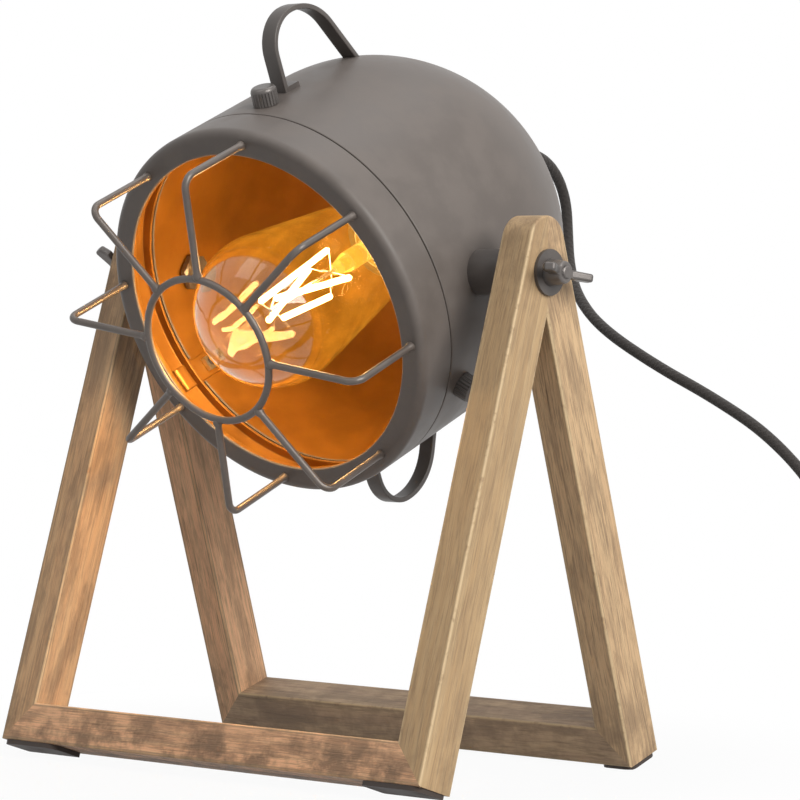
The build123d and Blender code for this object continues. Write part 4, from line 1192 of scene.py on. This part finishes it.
@dataclass
class Guard:
    """The wire guard: eight bent wires welded to the bezel's face and to one small ring."""

    head: HeadFrame
    wire: float = 0.0017
    count: int = 8
    first: float = radians(10.0)
    circle: float = 0.084
    face: float = 0.0511
    front: float = 0.0924
    bend: float = 0.006
    ring: float = 0.0348
    bead: float = 0.0007
    bead_length: float = 0.0011
    sink: float = 0.0012
    sides: int = 20
    ring_steps: int = 160
    wire_steps: tuple[int, int, int] = (22, 16, 40)

    def build(self, palette: Palette) -> None:
        """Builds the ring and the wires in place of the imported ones."""
        path = polar(self.ring, self.front, around(self.ring_steps))
        points, faces = tube(path, self.wire, self.sides, (0.0, 1.0, 0.0), closed=True)
        self.finish("ring_wire", self.head.place(points), faces, palette, "guard_ring")
        for number in range(self.count):
            turn = self.first + number * 2 * pi / self.count
            points, faces = self.bent_wire(turn)
            self.finish(f"bent_wire_{number + 1}", self.head.place(points), faces, palette, f"guard_wire_{number + 1}")

    def bent_wire(self, turn: float) -> tuple[Points, Any]:
        """One wire in its own plane, swollen a little into a weld bead at both ends.

        Args:
            turn: its place round the axis, in radians from the top.

        Returns:
            Its points in the head's frame and its quads.
        """
        inset, back = self.circle - self.bend, self.front - self.bend
        ahead, turned, inward = self.wire_steps
        straight = joined(np.linspace(self.face - self.sink, back, ahead), self.circle)
        angle = np.linspace(0.0, pi / 2, turned)[1:]
        corner = joined(back + self.bend * np.sin(angle), inset + self.bend * np.cos(angle))
        radial = joined(self.front, np.linspace(inset, self.ring, inward)[1:])
        line = np.concatenate([straight, corner, radial])
        path = joined(0.0, line[:, 0], line[:, 1])
        start = np.exp(-(((path[:, 1] - self.face) / self.bead_length) ** 2))
        end = np.exp(-(((path[:, 2] - self.ring - self.wire) / self.bead_length) ** 2))
        end *= path[:, 1] > self.front - 1e-6
        points, faces = tube(path, self.wire + self.bead * (start + end), self.sides, (1.0, 0.0, 0.0))
        across, up, c, s = points[..., 0], points[..., 2], cos(turn), sin(turn)
        return joined(across * c + up * s, points[..., 1], up * c - across * s), faces

    def finish(self, name: str, points: Points, faces: Any, palette: Palette, node: str) -> None:
        """Makes one piece, closes it, paints it and puts it in its node's place."""
        piece = settle(new_piece(name, points, faces), fill=True, merge=False)
        fit(piece, palette.get(Look.WIRE), "bezel_guard", node)


@dataclass
class Bulb:
    """The lit filament bulb's glass and filaments, with the light that they give."""

    head: HeadFrame
    centre: float = 0.045
    radius: float = 0.0365
    waist: tuple[float, float] = (0.0275, -0.014)
    neck: tuple[float, float] = (0.0146, -0.038)
    flare: tuple[float, float] = (0.028, 0.018)
    wall: float = 0.0009
    steps: int = 128
    outline_steps: tuple[int, int, int] = (72, 30, 34)
    rods: int = 4
    rod: float = 0.00145
    back: tuple[float, float] = (0.0120, 0.000)
    front: tuple[float, float] = (0.0070, 0.046)
    first: float = radians(12.0)
    twist: float = radians(-68.0)
    lights: tuple[float, ...] = (0.014, 0.030, 0.045)
    power: float = 1.15
    light_colour: Colour = (1.0, 0.60, 0.24)

    def outline(self) -> Points:
        """The glass outline from tip to neck: an arc, a straight cone, then an S-curve that follows on smoothly."""
        waist, neck = np.array(self.waist), np.array(self.neck)
        slope = np.arctan2(self.radius - waist[0], self.centre - waist[1])
        round_part, straight, curved = self.outline_steps
        angle = np.linspace(pi / 2, -slope, round_part)
        dome = joined(self.radius * np.cos(angle), self.centre + self.radius * np.sin(angle))
        cone = np.linspace(dome[-1], waist, straight)[1:]
        t = np.linspace(0.0, 1.0, curved)[1:, None]
        way_in = unit(waist - dome[-1]) * self.flare[0]
        way_out = np.array([0.0, -self.flare[1]])
        ends = (2 * t**3 - 3 * t**2 + 1) * waist + (3 * t**2 - 2 * t**3) * neck
        ways = (t**3 - 2 * t**2 + t) * way_in + (t**3 - t**2) * way_out
        return np.concatenate([dome, cone, ends + ways])

    def build(self, palette: Palette) -> None:
        """Builds glass, filaments and lights."""
        outer = self.outline()
        along = unit(np.gradient(outer, axis=0))
        inner = outer + joined(along[:, 1], -along[:, 0]) * self.wall
        inner[0, 0] = 0.0
        inner[:, 0] = np.maximum(inner[:, 0], 0.0)
        points, faces = revolved(np.concatenate([outer, inner[::-1]]), around(self.steps), False)
        glass = settle(new_piece("bulb_envelope", self.head.place(points), faces))
        fit(glass, palette.get(Look.GLASS), "bulb", "bulb_glass")
        for number in range(self.rods):
            self.filament(number, self.first + number * 2 * pi / self.rods, palette)
        clear = bpy.data.collections.new("clear_pieces")
        for piece in (glass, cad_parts["bulb_stem"]):
            piece.visible_shadow = False
            clear.objects.link(piece)
        for member in clear.collection_objects:
            member.light_linking.link_state = "EXCLUDE"
        for number, ahead in enumerate(self.lights):
            self.shine(number, ahead, clear)

    def shine(self, number: int, ahead: float, clear: bpy.types.Collection) -> None:
        """Adds one soft light among the filaments, which lights all but the glass and isn't seen itself.

        Args:
            number: its number.
            ahead: its place along the axis.
            clear: the glass pieces, which show the filaments themselves instead.
        """
        data = bpy.data.lights.new(f"glow_{number + 1}", "POINT")
        data.energy, data.color, data.shadow_soft_size = self.power / len(self.lights), self.light_colour, 0.008
        light = bpy.data.objects.new(data.name, data)
        light.location = self.head.place(np.array([0.0, ahead, 0.0])).tolist()
        light.visible_camera = light.visible_transmission = False
        light.light_linking.receiver_collection = clear
        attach(link(light), "bulb")

    def filament(self, number: int, turn: float, palette: Palette) -> None:
        """One straight rod with rounded ends: its radius falls to nought over the last part of its length.

        Args:
            number: its number.
            turn: its place round the axis, in radians.
            palette: the finishes.
        """
        (rb, sb), (rf, sf) = self.back, self.front
        start, end = polar(rb, sb, turn), polar(rf, sf, turn + self.twist)
        share = np.concatenate([[0.0], np.linspace(0.002, 0.998, 40), [1.0]])
        path = start + share[:, None] * (end - start)
        from_end = np.minimum(share, 1 - share) * np.linalg.norm(end - start)
        radius = self.rod * np.sqrt(np.clip(1 - (1 - np.minimum(from_end / self.rod, 1.0)) ** 2, 1e-6, 1.0))
        points, faces = tube(path, radius, 14, (1.0, 0.3, 0.2))
        rod = settle(new_piece(f"filament_{number + 1}", self.head.place(points), faces), fill=True)
        fit(rod, palette.get(Look.FILAMENT), "bulb", "filaments")


@dataclass
class MainsCord:
    """The braided cord in two lengths, to the switch and from there to the plug."""

    radius: float = 0.00275
    sides: int = 16
    repeat: float = 0.0035
    lead: tuple[tuple[float, float, float], ...] = (
        (0.0, 0.13278, 0.28616), (0.0, 0.14290, 0.29046), (0.0, 0.1601, 0.2913), (0.0, 0.1754, 0.2832),
        (0.0003, 0.1843, 0.2684), (0.0015, 0.1842, 0.2500), (0.0075, 0.1780, 0.2340), (0.0220, 0.1660, 0.2185),
        (0.0440, 0.1565, 0.2035), (0.0800, 0.1520, 0.1860), (0.1160, 0.1496, 0.1710), (0.1500, 0.1466, 0.1540),
        (0.1800, 0.1445, 0.1280), (0.1990, 0.1430, 0.0940), (0.2080, 0.1418, 0.0580), (0.2160, 0.1410, 0.0300),
        (0.2290, 0.1402, 0.0125), (0.2440, 0.1397, 0.0042), (0.2620, 0.1392, 0.0024), (0.2765, 0.1390, 0.0075),
        (0.2915, 0.1390, 0.0075),
    )
    link: tuple[tuple[float, float, float], ...] = (
        (0.3425, 0.1390, 0.0075), (0.3605, 0.1390, 0.0075), (0.3771, 0.1321, 0.0064), (0.3899, 0.1194, 0.0051),
        (0.3968, 0.1028, 0.00385), (0.3968, 0.0850, 0.00385),
    )
    tail: tuple[tuple[float, float, float], ...] = (
        (0.39375, 0.0740, 0.00995), (0.39375, 0.0614, 0.00995), (0.39375, 0.0446, 0.00685), (0.39375, 0.0320, 0.00685),
    )
    coil_centre: tuple[float, float] = (0.35665, 0.0795)
    coil_outer: float = 0.04015
    coil_pitch: float = 0.0061
    coil_turns: int = 6
    coil_height: float = 0.00385

    def coil(self) -> Points:
        """Control points of the coil: in at a steady rate on the lower layer, up in half a turn, out on the upper one.

        Sixteen points a turn lie a little outside the wanted circle, because the spline runs inside its points.

        Returns:
            The points, n by 3.
        """
        turns = np.arange(0.5, 16 * self.coil_turns) / 16
        layer = self.coil_turns / 2
        inward = np.minimum(turns, layer + 0.25)
        outward = np.maximum(turns - layer - 0.25, 0.0)
        climb = np.clip((turns - layer) * 2, 0.0, 1.0)
        radius = (self.coil_outer - self.coil_pitch * (inward - outward)) / 0.981
        angle = -2 * pi * turns
        height = self.coil_height + self.coil_pitch * climb * climb * (3 - 2 * climb)
        x, y = self.coil_centre
        return joined(x + radius * np.cos(angle), y + radius * np.sin(angle), height)

    def centre_line(self, name: str, controls: Points, resolution: int) -> Points:
        """The points of a smooth spline that is pulled by its control points.

        Args:
            name: the spline's name.
            controls: its control points, n by 3.
            resolution: points for each control point.

        Returns:
            The points on the spline, n by 3.
        """
        curve = bpy.data.curves.new(name, "CURVE")
        curve.dimensions = "3D"
        curve.resolution_u = resolution
        spline = curve.splines.new("NURBS")
        spline.points.add(len(controls) - 1)
        spline.points.foreach_set("co", np.hstack([controls, np.ones((len(controls), 1))]).ravel())
        spline.order_u = 3
        spline.use_endpoint_u = True
        holder = bpy.data.objects.new(name, curve)
        line = bpy.data.meshes.new_from_object(holder)
        points = np.empty(len(line.vertices) * 3)
        line.vertices.foreach_get("co", points)
        bpy.data.objects.remove(holder)
        bpy.data.curves.remove(curve)
        bpy.data.meshes.remove(line)
        return points.reshape(-1, 3)

    def sleeve(self, name: str, path: Points, side: tuple[float, float, float], palette: Palette) -> bpy.types.Object:
        """The braided tube along a centre line, with a UV map that counts braid repeats along it.

        Args:
            name: the piece's name.
            path: its centre line.
            side: a direction that the line never runs along.
            palette: the finishes.

        Returns:
            The piece.
        """
        points, faces = tube(path, self.radius, self.sides, side)
        piece = new_piece(name, points, faces)
        steps = np.linalg.norm(np.diff(path, axis=0), axis=1)
        along = np.concatenate([[0.0], np.cumsum(steps)]) / self.repeat
        row, column = np.divmod(faces, self.sides)
        share = column / self.sides
        share[(column == 0) & (column.max(axis=1, keepdims=True) == self.sides - 1)] = 1.0
        layer = piece.data.uv_layers.new(name="along")
        layer.data.foreach_set("uv", joined(along[row], share).ravel())
        settle(piece, fill=True, merge=False)
        piece.data.materials.append(palette.get(Look.CORD))
        return piece

    def build(self, palette: Palette) -> None:
        line = self.centre_line("lead_line", np.array(self.lead), 14)
        lead = self.sleeve("lead_cord", line, (-0.5, -0.6, 0.62), palette)
        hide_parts("cord_lead")
        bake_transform(lead)
        controls = np.concatenate([np.array(self.link), self.coil(), np.array(self.tail)])
        line = self.centre_line("coil_line", controls, 10)
        rest = self.sleeve("coiled_cord", line, (0.0, 0.0, 1.0), palette)
        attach(rest, "stand")
        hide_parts("cord_link", "cord_coil", "cord_tail")
        log.info("built the cord, %d and %d points long", len(lead.data.vertices), len(rest.data.vertices))


@dataclass
class Studio:
    """Pale floor, even light and the camera at the photograph's place."""

    place: tuple[float, float, float] = (1.09510, -1.28592, 0.21367)
    azimuth: float = radians(39.296)
    elevation: float = radians(1.476)
    roll: float = radians(0.423)
    lens: float = 161.8
    sensor: float = 36.0
    ambient: float = 0.26
    floor_grey: float = 0.40
    floor_half: float = 9.0
    white_share: float = 0.95
    white_from: tuple[float, float] = (0.12, 0.32)
    aim: tuple[float, float, float] = (0.0, 0.0, 0.15)
    lamps: tuple[tuple[str, tuple[float, float, float], float, float, Colour], ...] = (
        ("key", (2.6, -0.5, 1.5), 1.8, 92.0, (1.0, 0.985, 0.96)),
        ("top", (0.2, 0.4, 2.6), 1.6, 14.0, (1.0, 1.0, 1.0)),
        ("front", (-0.3, -1.5, 2.4), 1.4, 9.0, (1.0, 1.0, 1.0)),
    )

    def camera(self) -> None:
        """Sets the camera from its two viewing angles and its roll."""
        a, e = self.azimuth, self.elevation
        back = Vector((sin(a) * cos(e), -cos(a) * cos(e), sin(e)))
        right = (-back).cross(Vector((0, 0, 1))).normalized()
        up = right.cross(-back)
        across = right * cos(self.roll) + up * sin(self.roll)
        over = up * cos(self.roll) - right * sin(self.roll)
        data = bpy.data.cameras.new("camera")
        data.lens, data.sensor_width = self.lens, self.sensor
        data.clip_start, data.clip_end = 0.05, 30.0
        camera = bpy.data.objects.new("camera", data)
        matrix = Matrix((across, over, back)).transposed().to_4x4()
        matrix.translation = Vector(self.place)
        camera.matrix_world = matrix
        bpy.context.scene.camera = link(camera)

    def light(self) -> None:
        """Adds the square area lights, each by its name, place, size, power and colour, and aims them at the lamp."""
        for name, place, size, power, colour in self.lamps:
            data = bpy.data.lights.new(name, "AREA")
            data.size, data.energy, data.color = size, power, colour
            light = link(bpy.data.objects.new(name, data))
            light.location = place
            light.rotation_euler = (Vector(self.aim) - Vector(place)).to_track_quat("-Z", "Y").to_euler()

    def seen(self, graph: Graph) -> Any:
        """1 on the rays that show a surface to the eye, straight, in a gloss or through glass, and 0 on the others."""
        path = graph.add("ShaderNodeLightPath").outputs
        shown = graph.math("ADD", path["Is Camera Ray"], path["Is Glossy Ray"])
        return graph.math("ADD", shown, path["Is Transmission Ray"], clamp=True)

    def world(self) -> None:
        """A plain white surrounding, full white where it is seen and softer where it lights."""
        world = bpy.data.worlds.new("surrounding")
        graph = cleared(world)
        sky = graph.add("ShaderNodeBackground")
        strength = graph.math("MULTIPLY_ADD", self.seen(graph), 1.0 - self.ambient, self.ambient)
        sky.inputs["Color"].default_value = (1.0, 1.0, 1.0, 1.0)
        graph.feed(sky.inputs["Strength"], strength)
        graph.feed(graph.add("ShaderNodeOutputWorld").inputs[0], sky.outputs[0])
        bpy.context.scene.world = world

    def floor(self) -> None:
        """A wide pale floor: white where it is seen, with a soft part of the shadow near the lamp."""
        corners = np.array([(-1, -1, 0), (1, -1, 0), (1, 1, 0), (-1, 1, 0)]) * self.floor_half
        floor = new_piece("floor", corners, np.array([[0, 1, 2, 3]]), smooth=False)
        material = bpy.data.materials.new("pale_floor")
        graph = cleared(material)
        matte = graph.add("ShaderNodeBsdfDiffuse")
        matte.inputs["Color"].default_value = (*[self.floor_grey] * 3, 1.0)
        white = graph.add("ShaderNodeEmission")
        far = graph.add("ShaderNodeVectorMath", operation="LENGTH")
        graph.feed(far.inputs[0], graph.add("ShaderNodeTexCoord").outputs["Object"])
        share = graph.between(far.outputs["Value"], *self.white_from, self.white_share, 1.0)
        mix = graph.add("ShaderNodeMixShader")
        graph.feed(mix.inputs[0], graph.times(self.seen(graph), share))
        graph.feed(mix.inputs[1], matte.outputs[0])
        graph.feed(mix.inputs[2], white.outputs[0])
        white.inputs["Strength"].default_value = 1.0
        graph.feed(graph.add("ShaderNodeOutputMaterial").inputs[0], mix.outputs[0])
        floor.data.materials.append(material)

    def build(self) -> None:
        """Builds world, floor and lights."""
        self.world()
        self.floor()
        self.light()


def main() -> None:
    """Builds the camera, the cords and then every other sub-assembly, and logs the pieces that it builds."""
    logging.basicConfig(level=logging.INFO, format="%(name)s: %(message)s")
    head = HeadFrame()
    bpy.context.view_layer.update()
    effects = Effects(
        make_fine_texture(),
        make_head_place(head.pivot, head.tilt),
        make_stock_edge(),
        make_wood_grain(),
        make_braid(),
    )
    palette = Palette(effects)
    studio = Studio()
    studio.camera()
    MainsCord().build(palette)
    studio.build()
    Stand().dress(palette)
    Shade(head).build(palette)
    Strap(head, "top_strap", 0.0355).build(palette)
    Strap(head, "bottom_strap", 0.0316, shift=0.0070, way=-1.0).build(palette)
    Pivots(head).build(palette)
    Guard(head).build(palette)
    Bulb(head).build(palette)
    for look, nodes in DRESSED.items():
        for node in nodes:
            dress(palette.get(look), node)
    bpy.context.scene.view_settings.view_transform = "Standard"


if __name__ == "__main__":
    main()
